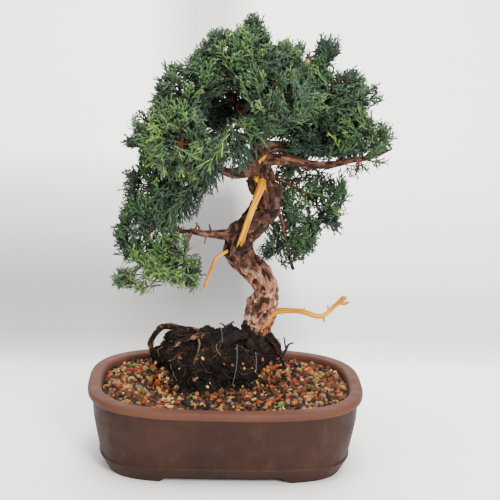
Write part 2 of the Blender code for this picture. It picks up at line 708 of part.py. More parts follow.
class Space:
    """Where each mass of foliage may grow: nearer its own centre than any other, and clear of the limbs."""

    def __init__(self):
        self.names = list(MASSES)
        self.centres = np.array([MASSES[name][0] for name in self.names], float)
        self.halves = np.array([MASSES[name][1] for name in self.names], float)
        starts, ends, radii, owners = [], [], [], []
        for name in ["trunk", *BOUGHS, *DEADWOOD]:
            route = smooth_route(limb_shape(name)[0], 4.0)
            for a, b in zip(route, route[1:]):
                starts.append(a[:3])
                ends.append(b[:3])
                radii.append(max(a[3], b[3]) * 1.1)
                owners.append(-1)
        self.starts = np.array(starts)
        self.ends = np.array(ends)
        self.radii = np.array(radii)
        self.owners = np.array(owners)

    def add_stem(self, index, points, radius):
        for a, b in zip(points, points[1:]):
            self.starts = np.vstack([self.starts, np.array(a)])
            self.ends = np.vstack([self.ends, np.array(b)])
            self.radii = np.append(self.radii, radius)
            self.owners = np.append(self.owners, index)

    def clear_of_limbs(self, index, points, gap):
        kept = self.owners != index
        a, b, radius = self.starts[kept], self.ends[kept], self.radii[kept]
        along = b - a
        share = np.einsum("pij,ij->pi", points[:, None] - a[None], along)
        share = share / np.einsum("ij,ij->i", along, along)
        near = a[None] + np.clip(share, 0, 1)[..., None] * along[None]
        return (np.linalg.norm(points[:, None] - near, axis=2) > radius[None] + gap).all(axis=1)

    def within(self, index, points, gap, reach=1.0):
        """Which of the points the mass may fill. Where masses meet, they fill what lies between them."""
        points = np.array([tuple(point) for point in points], float)
        depth = np.linalg.norm((points[:, None] - self.centres[None]) / self.halves[None], axis=2)
        own = depth[:, index]
        others = np.delete(depth, index, axis=1).min(axis=1)
        inside = np.exp(-MEETING * depth ** 2).sum(axis=1) >= math.exp(-MEETING * reach ** 2)
        return inside & (others >= own + BORDER) & self.clear_of_limbs(index, points, gap)

    def holds(self, index, points, gap, reach=1.0):
        return bool(self.within(index, points, gap, reach).all())


def spiral(count):
    """Directions spread evenly round a sphere."""
    for i in range(count):
        z = 1 - (2 * i + 1) / count
        across = math.sqrt(1 - z * z)
        yield Vector((across * math.cos(i * GOLDEN), across * math.sin(i * GOLDEN), z))


def stretched(direction, half):
    return Vector((direction.x * half[0], direction.y * half[1], direction.z * half[2]))


def stem_route(name):
    """From just clear of the limb's tip or side, in a bend, to the middle of the mass."""
    centre, half, limb, along, _, _ = MASSES[name]
    route = smooth_route(limb_shape(limb)[0], 2.0)
    centre = Vector(centre)
    if along >= 1.0:
        tip = Vector(route[-1][:3])
        outward = (tip - Vector(route[-2][:3])).normalized()
        start = tip + outward * CLEAR
        second = start + outward * STEM_START
    else:
        row = route[round(along * (len(route) - 1))]
        axis = Vector(row[:3])
        toward = centre - axis
        after = Vector(route[min(len(route) - 1, round(along * (len(route) - 1)) + 1)][:3])
        tangent = (after - axis).normalized()
        outward = (toward - tangent * toward.dot(tangent)).normalized()
        start = axis + outward * (row[3] * STEM_SEAT + CLEAR)
        second = start + outward * STEM_START
    middle = second.lerp(centre, 0.55) + Vector((0, 0, 1.0))
    return [start, second, middle, centre]


def blade(root, axis, flat, length):
    """The outline of a spray, toothed, with its middle raised on both faces."""
    across = axis.cross(flat).normalized()
    face = across.cross(axis).normalized()
    width = SPRAY_WIDTH * length
    rim = [root + axis * (up * length) + across * (side * width) for side, up in SPRAY_OUTLINE]
    middle = root + axis * (0.46 * length)
    thick = face * (SPRAY_THICKNESS / 2)
    return rim, middle + thick, middle - thick


def spray_points(rim):
    """Points on a spray, past the part that is sunk, at which its space is tested."""
    tested = list(rim[1:])
    tested += [rim[i].lerp(rim[i + 1], 0.5) for i in range(1, len(rim) - 1)]
    tested += [rim[0].lerp(rim[i], share) for i in (1, 3, 4, 6) for share in (0.4, 0.6, 0.8)]
    return tested


def grow_sprays(space, index, starts, lift, rng):
    """A spray at each start, shortened until it has room, or left out."""
    grown = []
    for root, outward in starts:
        for _ in range(SPRAY_TRIES):
            lean = Vector([rng.uniform(-SPRAY_LEAN, SPRAY_LEAN) for _ in range(3)])
            axis = (outward + lean + Vector((0, 0, lift * 0.5))).normalized()
            flat = Vector([rng.uniform(-1, 1) for _ in range(3)]).normalized()
            length = rng.uniform(*SPRAY_LENGTH)
            fitted = None
            share = 1.0
            while share >= SHORTEST_SPRAY and fitted is None:
                rim, high, low = blade(root, axis, flat, length * share)
                if space.holds(index, spray_points(rim), SPRAY_GAP, REACH):
                    fitted = (rim, high, low)
                share -= SPRAY_SHRINK
            if fitted:
                grown.append(fitted)
                break
    return grown


def open_mass(space, index, name, rng):
    """Twigs that leave the stem on all sides, each with a spray at its tip and some beside it."""
    centre, half, _, _, lift, _ = MASSES[name]
    centre = Vector(centre)
    stem = space.stems[index]
    twigs = []
    starts = []
    for number, direction in enumerate(spiral(TWIGS)):
        foot = stem[2].lerp(centre, (number + rng.random()) / TWIGS)
        for share in TWIG_REACHES:
            tip = centre + stretched(direction, half) * share
            if space.holds(index, [foot.lerp(tip, s) for s in (0.3, 0.5, 0.75, 1.0)], CORE_GAP):
                break
        else:
            continue
        along = (tip - foot).normalized()
        twigs.append((foot - along * 0.5, tip))
        starts.append((tip - along * 3.0, along))
        beside = along.cross(Vector([rng.uniform(-1, 1) for _ in range(3)])).normalized()
        for k in range(1, SPRAYS_ON_TWIG):
            outward = (along * 0.75 + beside * (-1) ** k).normalized()
            starts.append((foot.lerp(tip, 0.3 + 0.5 * k / SPRAYS_ON_TWIG) - outward * 1.2, outward))
    return twigs, grow_sprays(space, index, starts, lift, rng)


def dense_mass(space, index, name, count, rng):
    """Sprays that stand out of the core on all sides."""
    centre, half, _, _, lift, _ = MASSES[name]
    centre = Vector(centre)
    starts = []
    for direction in spiral(count):
        reach = core_reach(space, index, direction)
        skin = centre + stretched(direction, half) * reach
        inward = (skin - centre).normalized()
        starts.append((skin - inward * SPRAY_SUNK, inward))
    return grow_sprays(space, index, starts, lift, rng)


def core_reach(space, index, direction):
    """How far the core may go in a direction, in half sizes, short of the edge of its space or a limb."""
    centre = Vector(space.centres[index])
    half = space.halves[index]
    shares = np.arange(CORE_LEAST, CORE_MOST, CORE_STEP)
    free = space.within(index, [centre + stretched(direction, half) * share for share in shares], CORE_GAP)
    edge = shares[-1] if free.all() else shares[int(np.argmin(free))]
    return edge * CORE_SIZE


def core_body(space, index, name):
    """A lumpy core whose every point is held back by the nearest limb on any side of it."""
    made = bmesh.new()
    bmesh.ops.create_icosphere(made, subdivisions=2, radius=1.0)
    directions = list(spiral(CORE_TESTS))
    reaches = [core_reach(space, index, direction) for direction in directions]
    centre = Vector(space.centres[index])
    for vert in made.verts:
        near = [r for d, r in zip(directions, reaches) if d.dot(vert.co) > CORE_NEIGHBOURS]
        lump = noise.noise(vert.co * LUMP_SIZE + Vector((index * 3, 0, 0))) + 0.3
        lumpy = 1.0 - CORE_LUMPS * lump
        vert.co = (centre + stretched(vert.co, space.halves[index]) * (min(near) * min(1.0, lumpy))) * MM
    return object_from(name, made)


def three_sided(points, radii):
    """A three-sided twig through the points."""
    rings = []
    side = (points[1] - points[0]).orthogonal().normalized()
    for i, (point, radius) in enumerate(zip(points, radii)):
        tangent = (points[min(len(points) - 1, i + 1)] - points[max(0, i - 1)]).normalized()
        side = (side - tangent * side.dot(tangent)).normalized()
        other = tangent.cross(side)
        turns = [2 * math.pi * k / 3 for k in range(3)]
        rings.append([point + (side * math.cos(t) + other * math.sin(t)) * radius for t in turns])
    return body_from_rings(rings)


def blade_body(rim, high, low):
    made = bmesh.new()
    edge = [made.verts.new(point * MM) for point in rim]
    top = made.verts.new(high * MM)
    bottom = made.verts.new(low * MM)
    for i in range(len(edge)):
        j = (i + 1) % len(edge)
        made.faces.new((edge[i], edge[j], top))
        made.faces.new((edge[j], edge[i], bottom))
    bmesh.ops.recalc_face_normals(made, faces=made.faces)
    return object_from("spray", made)


def fuse(base, parts, solver):
    """One Boolean union joins the parts to the base, is applied, and the parts are removed."""
    holder = bpy.data.collections.new("parts")
    bpy.context.scene.collection.children.link(holder)
    for part in parts:
        bpy.context.scene.collection.objects.unlink(part)
        holder.objects.link(part)
    union = base.modifiers.new("fuse", "BOOLEAN")
    union.operation = "UNION"
    union.solver = solver
    union.operand_type = "COLLECTION"
    union.collection = holder
    apply_modifiers(base)
    for part in parts:
        bpy.data.objects.remove(part, do_unlink=True)
    bpy.data.collections.remove(holder)
    keep_largest(base)


def mass_body(space, index, name, count, rng):
    """The stem, the twigs or the core, and the sprays of one mass, fused."""
    dense = MASSES[name][5]
    stem = space.stems[index]
    radii = [STEM_RADIUS, STEM_RADIUS, STEM_RADIUS * 0.9, STEM_RADIUS * 0.7]
    if dense:
        sprays = dense_mass(space, index, name, count, rng)
        base = core_body(space, index, name)
        parts = [object_from("stem", three_sided(stem, radii))]
    else:
        twigs, sprays = open_mass(space, index, name, rng)
        sprays = sprays[:count]
        base = object_from(name, three_sided(stem, radii))
        radii = [TWIG_RADIUS, TWIG_RADIUS * 0.6]
        parts = [object_from("twig", three_sided(list(twig), radii)) for twig in twigs]
    parts += [blade_body(*spray) for spray in sprays]
    return base, parts


def make_foliage(parent):
    space = Space()
    space.stems = [stem_route(name) for name in space.names]
    for index, stem in enumerate(space.stems):
        space.add_stem(index, stem, STEM_RADIUS)
    for index, name in enumerate(space.names):
        for attempt in range(TRIES):
            count = (SPRAYS_DENSE if MASSES[name][5] else SPRAYS_OPEN) - max(0, attempt - 3) * 2
            rng = random.Random(SEED * 1000 + 100 * attempt + index)
            base, parts = mass_body(space, index, name, count, rng)
            fuse(base, parts, "EXACT" if attempt % 2 == 0 else "MANIFOLD")
            if is_closed(base):
                break
            bpy.data.objects.remove(base, do_unlink=True)
        base.name = name
        finish(base, "foliage", parent, smooth=30.0)


def main():
    clear_scene()
    plant = bpy.data.objects.new("plant", None)
    plant.location = PLANT_SHIFT * MM
    bpy.context.scene.collection.objects.link(plant)
    bpy.context.view_layer.update()
    make_pot(plant)
    make_soil(plant)
    make_mound(plant)
    finish(limb_body("trunk"), "bark", plant, smooth=60.0)
    make_limbs(ROOTS, "root", plant)
    make_limbs(BOUGHS, "bough", plant)
    make_limbs(DEADWOOD, "deadwood", plant)
    make_limbs(WIRES, "wire", plant)
    make_foliage(plant)


main()
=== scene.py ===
"""The looks of a juniper bonsai in a stoneware pot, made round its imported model.

Shapes are worked out in millimetres from the middle of the pot's underside, with +X right, +Y back
and +Z up. SHIFT then takes them to the frame's own origin, and a mesh is written in metres. The
tables of limbs and masses are those of the model, and the foliage grows by its rule on finer twigs.
"""

import math
import random

import bmesh
import bpy
import numpy as np
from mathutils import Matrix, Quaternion, Vector, noise
from mathutils.bvhtree import BVHTree


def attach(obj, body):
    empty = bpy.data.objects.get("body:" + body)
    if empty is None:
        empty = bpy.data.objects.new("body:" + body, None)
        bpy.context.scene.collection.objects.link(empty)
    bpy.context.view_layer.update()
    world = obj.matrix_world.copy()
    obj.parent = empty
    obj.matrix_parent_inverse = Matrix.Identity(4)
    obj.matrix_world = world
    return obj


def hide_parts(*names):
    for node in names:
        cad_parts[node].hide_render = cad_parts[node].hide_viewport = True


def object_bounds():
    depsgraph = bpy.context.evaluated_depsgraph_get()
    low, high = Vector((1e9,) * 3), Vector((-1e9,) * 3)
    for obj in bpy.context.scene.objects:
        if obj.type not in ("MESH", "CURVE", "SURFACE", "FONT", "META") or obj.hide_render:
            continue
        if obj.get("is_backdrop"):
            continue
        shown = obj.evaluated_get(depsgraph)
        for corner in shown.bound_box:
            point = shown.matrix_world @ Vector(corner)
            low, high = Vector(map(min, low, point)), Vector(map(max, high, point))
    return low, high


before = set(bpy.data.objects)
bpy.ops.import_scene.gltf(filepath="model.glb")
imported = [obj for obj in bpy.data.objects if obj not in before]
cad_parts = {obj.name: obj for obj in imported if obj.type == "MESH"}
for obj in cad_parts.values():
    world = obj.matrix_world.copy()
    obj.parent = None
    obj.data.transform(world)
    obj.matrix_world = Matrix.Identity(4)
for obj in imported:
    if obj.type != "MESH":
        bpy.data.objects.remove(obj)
CAD_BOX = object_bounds()

MM = 0.001
SHIFT = np.array((-8.0, -0.7, 0.0))
GOLDEN = math.pi * (3.0 - math.sqrt(5.0))
SEED = 41

# The view: where the camera is, what it looks along, and its lens.
CAMERA_PLACE = (-23.4, -949.8, 412.5)
CAMERA_HEADING = math.radians(2.37)
CAMERA_PITCH = math.radians(14.64)
CAMERA_ROLL = math.radians(1.75)
CAMERA_LENS = 93.6
CAMERA_SENSOR = 36.0
CAMERA_CLIP = (0.01, 20.0)

# The lights: name, place and target in metres, width in metres and power in watts.
LIGHTS = (
    ("key", (0.55, -1.40, 0.95), (0, 0, 0.16), 0.5, 44),
    ("fill", (-1.3, -0.9, 1.2), (0, 0, 0.16), 1.2, 12),
    ("top", (0.1, -0.1, 1.7), (0, 0, 0.16), 1.2, 44),
    ("backdrop", (0.1, 1.0, 1.5), (0.1, 1.75, 0.10), 1.6, 60),
)
WORLD_COLOUR = (0.96, 0.98, 1.0, 1.0)
WORLD_STRENGTH = 0.55

# The sheet under the pot: its half width, where its flat part has edges, its bend's radius and steps,
# and how high it reaches.
SHEET_HALF = 12000.0
SHEET_EDGES = (-12000.0, -600.0, 1200.0)
SHEET_BEND = 600.0
SHEET_STEPS = 32
SHEET_TOP = 900.0

# The pot: its plan is a superellipse that grows squarer towards the base.
POT_LENGTH = 211.3
POT_DEPTH = 150.0
POT_HEIGHT = 60.8
POT_POINTS = 192
RIM_SQUARENESS = 2.9
BASE_SQUARENESS = 3.95
LIP_HEIGHT = 6.0
LIP_OVERHANG = 3.6
RIM_WIDTH = 10.8
BASE_INSET = 15.5
BAND_HEIGHT = 13.2
FLOOR_TOP = 11.5
FOOT_HEIGHT = 5.5
FOOT_WIDTH = 9.0
FRONT_CUTOUT = 84.0
SIDE_CUTOUT = 52.0
CUTOUT_SLOPE = 7.0
DRAIN_RADIUS = 6.0
DRAIN_SPACING = 92.0
DRAIN_SIDES = 32
UNDER = -2.0  # how far under the pot the tools that cut it start

# The soil, its grit and the root mound.
SOIL_TOP = 55.5
GRIT_SPACING = 3.7
GRIT_SIZE = (1.2, 3.7)  # half sizes
GRIT_MARGIN = 1.4
PEAT_LINE = 97.0  # the peat covers the trunk's foot up to here, higher on its left
PEAT_LEAN = 0.6
FIBRES = 420
PEBBLES = 90
MOUND_CENTRE = (-2.0, 16.0)
MOUND_HALF = (50.0, 36.0)
MOUND_TURN = math.radians(22)
MOUND_TOP_LEFT = 97.0
MOUND_FALL = 0.14
MOUND_LUMP = 10.0
MOUND_LUMP_SIZE = 15.0
MOUND_BLUNTNESS = 0.42
MOUND_SIDES = 260
MOUND_RINGS = 90
MOUND_SHUT = 0.985  # how far up the mound its last ring is
MOUND_WAY_UP = 55.0  # the length of the way up the mound

# Where grit is banked up against the mound: place across, width and rise. How many places are tried.
BANKS = ((36, 13, 15), (-45, 9, 12), (10, 60, 1.5))
BANK_DRAWS = 2600

# Swells of the mound: place, size and push.
MOUND_SWELLS = (((-44, 13, 74), 13, 11), ((-36, 8, 92), 9, 5))

# Pale strands down the mound: start, end and bow. A bent root on it, and where moss lies on the grit.
STRANDS = (
    ((7.6, -14, 93.8), (4.6, -19.5, 62), 1.5),
    ((22.2, -9, 86), (22.6, -15, 72.4), 0.6),
    ((-4.8, 4, 101.5), (-3.8, -9, 92), 0.8),
)
CURVED_ROOT = ((-22.5, -2, 97.5), (-20.6, -9, 91.5), (-22.4, -13, 84), (-26.6, -15, 77.5))
MOSS = (
    (-62, -22), (-27, -36), (66, -12), (40, -52), (-74, 30), (30, 56),
)

# A station on a limb is x, y, z and the radius there.
TRUNK = (
    (28.2, 16, 82, 15.5), (25.2, 14.5, 92, 12.6), (26.6, 12.5, 105, 12.4), (27, 9, 118, 10.9),
    (29.3, 7, 127.5, 9.9), (27.6, 4.5, 137.5, 9.4), (21.5, 2.5, 147, 9.4), (11.8, 1.2, 155.5, 9.6),
    (7, 1, 165, 10.4), (9, 1, 175, 10.4), (17.5, 2.6, 184.3, 9.9), (25.5, 4, 194.3, 10.4),
    (27.5, 4, 205, 10.8), (23.4, 4, 217.5, 9.6), (20, 4, 228, 8.6), (20.6, 3, 239.5, 7.2),
    (18.2, 2, 250, 4.7), (10, 0.8, 262.5, 3.1), (0, 0, 279, 2.5), (-6.5, -1, 287.5, 2.1),
    (-9, -1, 297, 1.7), (-5.5, -1, 307, 1.3),
)

# The foot of the trunk as it shows where peat and roots close round it, in place of its first stations.
TRUNK_FOOT = ((22.5, 16, 82, 13.5), (21.8, 14.5, 92, 11.2), (25.2, 12.5, 105, 11.5))

ROOTS = {
    "root_front": ((24, 16, 92, 7), (10, 5, 95, 4.6), (0.5, -2.5, 92.2, 3.4), (-9, -8.5, 88.6, 3),
        (-19.5, -13.5, 84.5, 2.7), (-23.5, -18.5, 76, 2.3), (-24.5, -21.5, 66, 1.7)),
    "root_right": ((29, 15, 93, 6), (36.5, 8, 89.8, 3), (41, 12, 81.8, 2.5), (44, 15, 71.5, 2.1),
        (45.5, 17.5, 62, 1.7)),
    "root_left_arch": ((-22, 8, 95.5, 2.7), (-37.5, 12, 97.2, 2.5), (-47, 14, 98, 2.4),
        (-54.5, 14, 92.8, 2.3), (-58.6, 14, 84, 2.2), (-57, 14, 75.5, 2.1), (-50, 14, 69, 1.8)),
    "root_left_thin": ((-13, -1, 96.5, 2.2), (-22.5, -5, 96.6, 1.9), (-33.5, -6.5, 93.2, 1.8),
        (-44.5, -5, 85, 1.6), (-49, -2, 75, 1.2)),
}

BOUGHS = {
    "bough_left": ((10, 0, 174, 5.4), (-6, -2.5, 176.4, 3.6), (-18, -6.5, 177.9, 2.6),
        (-29.6, -10, 180.5, 1.9)),
    "bough_left_out": ((-27.5, -9.4, 180.1, 1.5), (-40, -10, 180.6, 1.5), (-50, -8, 186, 1.1)),
    "bough_left_down": ((-28.3, -9.6, 180, 1.5), (-31.5, -12.8, 172.5, 1.4), (-33.5, -16, 160, 1.1)),
    "bough_left_up": ((-44.5, -9.4, 182.6, 1.2), (-51, -8, 192.5, 1.3), (-56, -6, 203, 1)),
    "bough_low_left": ((-40, -10, 180.6, 1.3), (-47, -12.5, 171, 1.4), (-56.5, -15, 158.5, 1)),
    "bough_upper_left": ((20, 4, 229, 7), (4, -2.6, 223.4, 4.2), (-7, -8, 227.3, 3), (-16, -13, 237, 2.4),
        (-27.5, -26, 248.5, 1.6)),
    "bough_left_mid": ((-13, -11, 233, 2), (-30, -7, 241, 1.9), (-46, -3, 250, 1.3)),
    "bough_thick_right": ((20, 3, 241.5, 6), (33, 9, 242, 4.6), (47, 15.5, 241.6, 4),
        (59.5, 21.5, 242.6, 2.8)),
    "bough_up_right": ((56, 20, 242, 2), (63, 20, 250.5, 1.9), (72, 16.5, 261, 1.6), (82, 10, 275, 1.3),
        (86.5, 4, 284, 1)),
    "bough_right_back": ((57, 20.5, 242.3, 2), (66, 31, 247, 2), (70, 42, 256, 1.3)),
    "bough_long_right": ((20, 4, 233.5, 6), (43.5, 0, 233.8, 3.4), (58.5, -4, 231.8, 3.1),
        (71, -7, 232, 2.9), (88.5, -10, 236.6, 2.3), (102, -11, 239.4, 1.9), (114.5, -12, 245.3, 1.4)),
    "bough_hanging": ((28, 5, 201, 3), (37.5, 15, 189.5, 1.8), (42.8, 20.5, 173.5, 1.6),
        (47, 24, 155.5, 1.5), (50.9, 25, 142.6, 1.4)),
    "bough_hanging_out": ((23, 5, 222, 3), (38.5, 20, 214, 1.6), (54, 28, 205.4, 1.3), (65, 33, 199, 1)),
    "bough_top_right": ((14, 1, 257, 2.4), (27.5, 2, 269, 2.1), (41, 0, 279, 1.8), (51, -3, 290.5, 1.5),
        (59, -3, 298, 1.2), (66.5, -3, 303.5, 0.9)),
    "stub_top": ((50.5, -2.8, 290, 1.3), (51.3, -7, 298, 1.7), (53, -10, 309, 1.5)),
    "bough_apex": ((0.5, 0, 278.5, 1.6), (9, 6, 293, 1.5), (13.5, 2, 315, 1)),
    "bough_top_front": ((6, 0.4, 268.5, 1.8), (16, -10, 281, 1.6), (22, -15, 297, 1)),
    "bough_top_left": ((-1.5, -0.2, 281, 1.8), (-15, -5, 285.5, 1.6), (-27, -8.5, 288, 1)),
    "bough_front": ((20, 2.5, 242.5, 3.4), (23, -13, 252, 2.5), (28.5, -28, 270, 1.4)),
    "bough_back": ((20, 4, 236.5, 4), (16.5, 24, 246, 2.8), (13, 39, 263, 1.6)),
    "bough_back_left": ((16.5, 23, 245.6, 2.2), (-2, 37, 247, 2), (-17, 46, 251, 1.3)),
}

DEADWOOD = {
    "deadwood_front": ((23.5, -1, 219, 3.4), (22.4, -10.5, 215.5, 3.3), (18.6, -14.5, 206.2, 2.9),
        (14.4, -16, 195, 2.6), (11, -16.5, 183.8, 2.6), (7.6, -16.5, 172.3, 2.3)),
    "deadwood_right": ((30, 9, 111, 3.6), (41, 5, 115, 2.5), (55.7, 1, 116.2, 2.3), (71.5, -3, 113.6, 2.1),
        (81.5, -5, 122.5, 1.9), (88.4, -6, 129.8, 2.1)),
    "deadwood_left": ((5, -1, 166, 1.9), (-8.6, -6, 160, 1.5), (-12.6, -8.5, 152, 1.5),
        (-18.3, -11, 137.1, 1.3)),
}

DEADWOOD_SLIMNESS = 0.88  # how thick its surface is, as a share of those radii

WIRES = {
    "tie_wire_right": ((53, 15, 86, 0.7), (49.3, 15.5, 84.3, 0.8), (47.2, 16.5, 79.5, 1.1),
        (44.3, 16.6, 73, 0.9)),
    "tie_wire_top": ((5.8, 11, 104, 0.7), (2.5, 11.2, 101.5, 0.8), (-0.6, 11.6, 98, 1),
        (-1.8, 12.2, 83, 0.9)),
}

# Short spurs, prongs and torn stubs, each by its own stations, on the limb that carries them.
SPURS = {
    "deadwood_right": (
        ((85, -5.5, 125.4, 1.6), (88.6, -6.2, 125, 1.4), (91.4, -6.8, 126.4, 1)),
        ((72.6, -3.1, 114, 1.4), (74, -3.5, 111.2, 1), (74.8, -3.8, 109.2, 0.5)),
        ((77.4, -4.2, 118.4, 1), (76.6, -4.6, 121, 0.7), (76.4, -4.8, 123, 0.3)),
        ((58, 0.6, 116.4, 1.1), (58.8, 0, 118.6, 0.6), (59.2, -0.2, 119.8, 0.3)),
    ),
    "deadwood_front": (
        ((21.5, -8.6, 215, 1.9), (24.4, -8.4, 214.6, 1.3), (26.4, -7.6, 212.4, 0.6)),
        ((15.6, -15.8, 198, 1.2), (18, -17, 199.6, 0.7), (19.2, -17.4, 201.2, 0.3)),
    ),
    "bough_left": (
        ((-13, -4.6, 177.2, 1.1), (-14.6, -6.6, 182, 0.8), (-15.4, -7.6, 185.4, 0.5)),
        ((-22, -7.6, 178.6, 1), (-23, -8.6, 183.6, 0.7), (-25.6, -9.4, 186.6, 0.4)),
        ((-26, -8.8, 179.8, 0.9), (-25, -11.6, 184, 0.7), (-24.4, -12.6, 187.8, 0.4)),
        ((-17, -6.4, 177.4, 0.9), (-18.2, -8.8, 173.6, 0.6), (-18.6, -9.6, 171, 0.4)),
    ),
    "tie_wire_right": (((47.2, 16.3, 80, 0.75), (46.2, 15.6, 85, 0.7), (45.2, 15, 90.5, 0.55)),),
    "tie_wire_top": (((-0.4, 11.5, 98.4, 0.75), (-2.6, 11, 101, 0.7), (-5.6, 10.6, 102.4, 0.55)),),
}

# Knobs on the trunk: place and size. Torn strips of pale wood on the bark: their lines and width.
KNOBS = (
    (3.1, -4, 185.8, 2.6), (-4.8, -2, 171.8, 2.8), (-2.3, -5, 161.7, 2.2), (13.7, -6, 155.8, 2),
    (35.5, 5, 132, 2.2), (19, -4, 140, 1.8), (35.8, -2, 199, 1.8),
)
TORN = (
    (2.3, ((38, 5.5, 114.5), (36, 4.2, 112), (33.8, 2.4, 108), (30.1, 0.8, 103), (27.6, 0.9, 98))),
    (1.3, ((17.5, -5, 231), (22, -5.2, 233.4), (26.5, -3.4, 237.2))),
    (2.2, ((19, -6.4, 220), (24, -6, 215))),
    (2.8, ((52.6, -9.4, 306.6), (53, -10, 309))),
)

# Bark colours, from bare cracks to the lightest flakes.
LOW_TRUNK = ((0.030, 0.014, 0.010), (0.185, 0.088, 0.056), (0.350, 0.185, 0.120), (0.600, 0.380, 0.255))
HIGH_TRUNK = ((0.008, 0.005, 0.004), (0.026, 0.013, 0.009), (0.056, 0.027, 0.018), (0.130, 0.070, 0.048))
BOUGH_TONES = ((0.012, 0.006, 0.004), (0.042, 0.018, 0.012), (0.092, 0.041, 0.027), (0.190, 0.100, 0.068))
ROOT_TONES = ((0.012, 0.007, 0.005), (0.050, 0.023, 0.014), (0.140, 0.068, 0.038), (0.300, 0.170, 0.100))

# name: (centre, half size, limb it grows from, how far along that limb, lift)
MASSES = {
    "foliage_apex": ((14, 0, 326), (13, 14, 14.2), "bough_apex", 1, 0.9),
    "foliage_top_left": ((-9, -8, 310), (25, 26, 20), "trunk", 1, 0.5),
    "foliage_top_front": ((22, -17, 305), (24, 24, 20), "bough_top_front", 1, 0.5),
    "foliage_top_right": ((46, 6, 305), (19, 24, 18), "bough_top_right", 0.72, 0.5),
    "foliage_fan": ((67, -3, 316), (11, 8, 11), "bough_top_right", 1, 1.2),
    "foliage_right_upper": ((72, -8, 286), (22, 25, 19), "bough_up_right", 0.97, 0.4),
    "foliage_right_outer": ((93, 4, 281), (17, 21, 17), "bough_up_right", 1, 0.3),
    "foliage_far_right": ((102, -10, 256), (20, 21, 17), "bough_long_right", 1, 0.3),
    "foliage_right_mid": ((70, 8, 259), (24, 26, 18), "bough_up_right", 0.45, 0.1),
    "foliage_front_right": ((30, -38, 281), (27, 26, 22), "bough_front", 1, 0.3),
    "foliage_left_upper": ((-34, -10, 286), (25, 28, 22), "bough_top_left", 1, 0.4),
    "foliage_left_mid": ((-56, -2, 254), (24, 28, 20), "bough_left_mid", 1, 0.1),
    "foliage_front_left": ((-37, -42, 252), (24, 24, 24), "bough_upper_left", 1, 0),
    "foliage_front_low": ((-1, -32, 254), (17, 17, 20), "trunk", 0.80, -0.6),
    "foliage_column_upper": ((-58, -4, 212), (22, 26, 21), "bough_left_up", 1, 0.1),
    "foliage_column_inner": ((-33, -13, 213), (19, 17, 18), "bough_upper_left", 0.52, -0.8),
    "foliage_column_lower": ((-62, -2, 177), (24, 24, 21), "bough_left_out", 1, 0),
    "foliage_lowest_left": ((-63, -16, 147), (21, 21, 18), "bough_low_left", 1, -0.1),
    "foliage_lowest_right": ((-35, -18, 156), (19, 20, 23), "bough_left_down", 1, -0.1),
    "foliage_hanging_upper": ((63, 34, 214), (26, 17, 14), "bough_hanging_out", 0.62, 0.1),
    "foliage_hanging_mid": ((69, 32, 187), (23, 20, 19), "bough_hanging_out", 1, 0),
    "foliage_hanging_low": ((44, 31, 162), (22, 17, 20), "bough_hanging", 0.78, -0.1),
    "foliage_back_top": ((14, 44, 284), (33, 27, 27), "bough_back", 1, 0.4),
    "foliage_back_left": ((-30, 47, 255), (31, 27, 27), "bough_back_left", 1, 0.1),
    "foliage_back_right": ((62, 48, 262), (33, 27, 25), "bough_right_back", 1, 0.1),
}
MEETING = 1.7  # how readily masses that meet fill the space between them
STEM_RADIUS = 1.0
STEM_TIP = 0.45
STEM_SEAT = 1.05
STEM_START = 3.0
SPRIG_REACH = 1.45  # a sprig on a bough may stand this far out
# The share of the sprigs' outer sprays that are painted light, and how much the sprigs droop.
SPRIG_LIGHT = 0.2
SPRIG_DROOP = 0.1

# How each mass is dressed: twigs to each shell of it, the share of its outer sprays that are painted light,
# the length of its sprays, how much they droop and how far they reach. Unnamed masses are PLAIN_STYLE.
PLAIN_STYLE = {"shells": (7, 18, 52), "light": 0.32, "length": (10, 18), "droop": 0, "reach": 1.02}
STYLES = {
    "foliage_apex": {"shells": (4, 9, 24), "light": 0.8, "length": (8, 12), "reach": 1.0},
    "foliage_fan": {"shells": (0, 5, 12), "light": 0.4, "length": (8, 13), "reach": 1.06},
    "foliage_top_left": {"light": 0.85, "reach": 0.98},
    "foliage_top_front": {"light": 0.5},
    "foliage_top_right": {"light": 0.65, "reach": 0.98},
    "foliage_right_outer": {"shells": (5, 12, 26), "light": 0.45, "reach": 0.92},
    "foliage_far_right": {"shells": (6, 16, 46), "light": 0.6},
    "foliage_front_right": {"light": 0.3},
    "foliage_right_mid": {"light": 0.2},
    "foliage_front_left": {"shells": (7, 20, 60), "light": 0.7, "droop": 0.25, "reach": 1.08},
    "foliage_left_upper": {"light": 0.45},
    "foliage_left_mid": {"shells": (7, 18, 50), "light": 0.2, "reach": 1.06},
    "foliage_front_low": {"shells": (7, 18, 36), "light": 0.35, "length": (17, 28), "droop": 0.75},
    "foliage_column_upper": {"shells": (6, 13, 30), "light": 0.35, "reach": 1.02},
    "foliage_column_inner": {"shells": (5, 10, 22), "light": 0.1, "length": (14, 24), "droop": 0.55},
    "foliage_column_lower": {"shells": (5, 13, 34), "light": 0.5, "reach": 1.06},
    "foliage_lowest_left": {"shells": (4, 11, 26), "light": 1, "droop": 0.2, "reach": 1.06},
    "foliage_lowest_right": {"shells": (4, 11, 24), "light": 0.95, "droop": 0.2},
    "foliage_hanging_upper": {"shells": (3, 5, 7), "light": 0.05, "length": (13, 22)},
    "foliage_hanging_mid": {"shells": (4, 10, 20), "light": 0.12, "length": (12, 20), "reach": 1.06},
    "foliage_hanging_low": {"shells": (4, 10, 19), "light": 0.1, "length": (12, 20), "reach": 1.08},
    "foliage_back_top": {"shells": (7, 20, 56)},
    "foliage_back_left": {"shells": (7, 19, 50)},
    "foliage_back_right": {"shells": (7, 19, 50)},
}
SHELL_DEPTHS = (0.34, 0.60, 0.84)
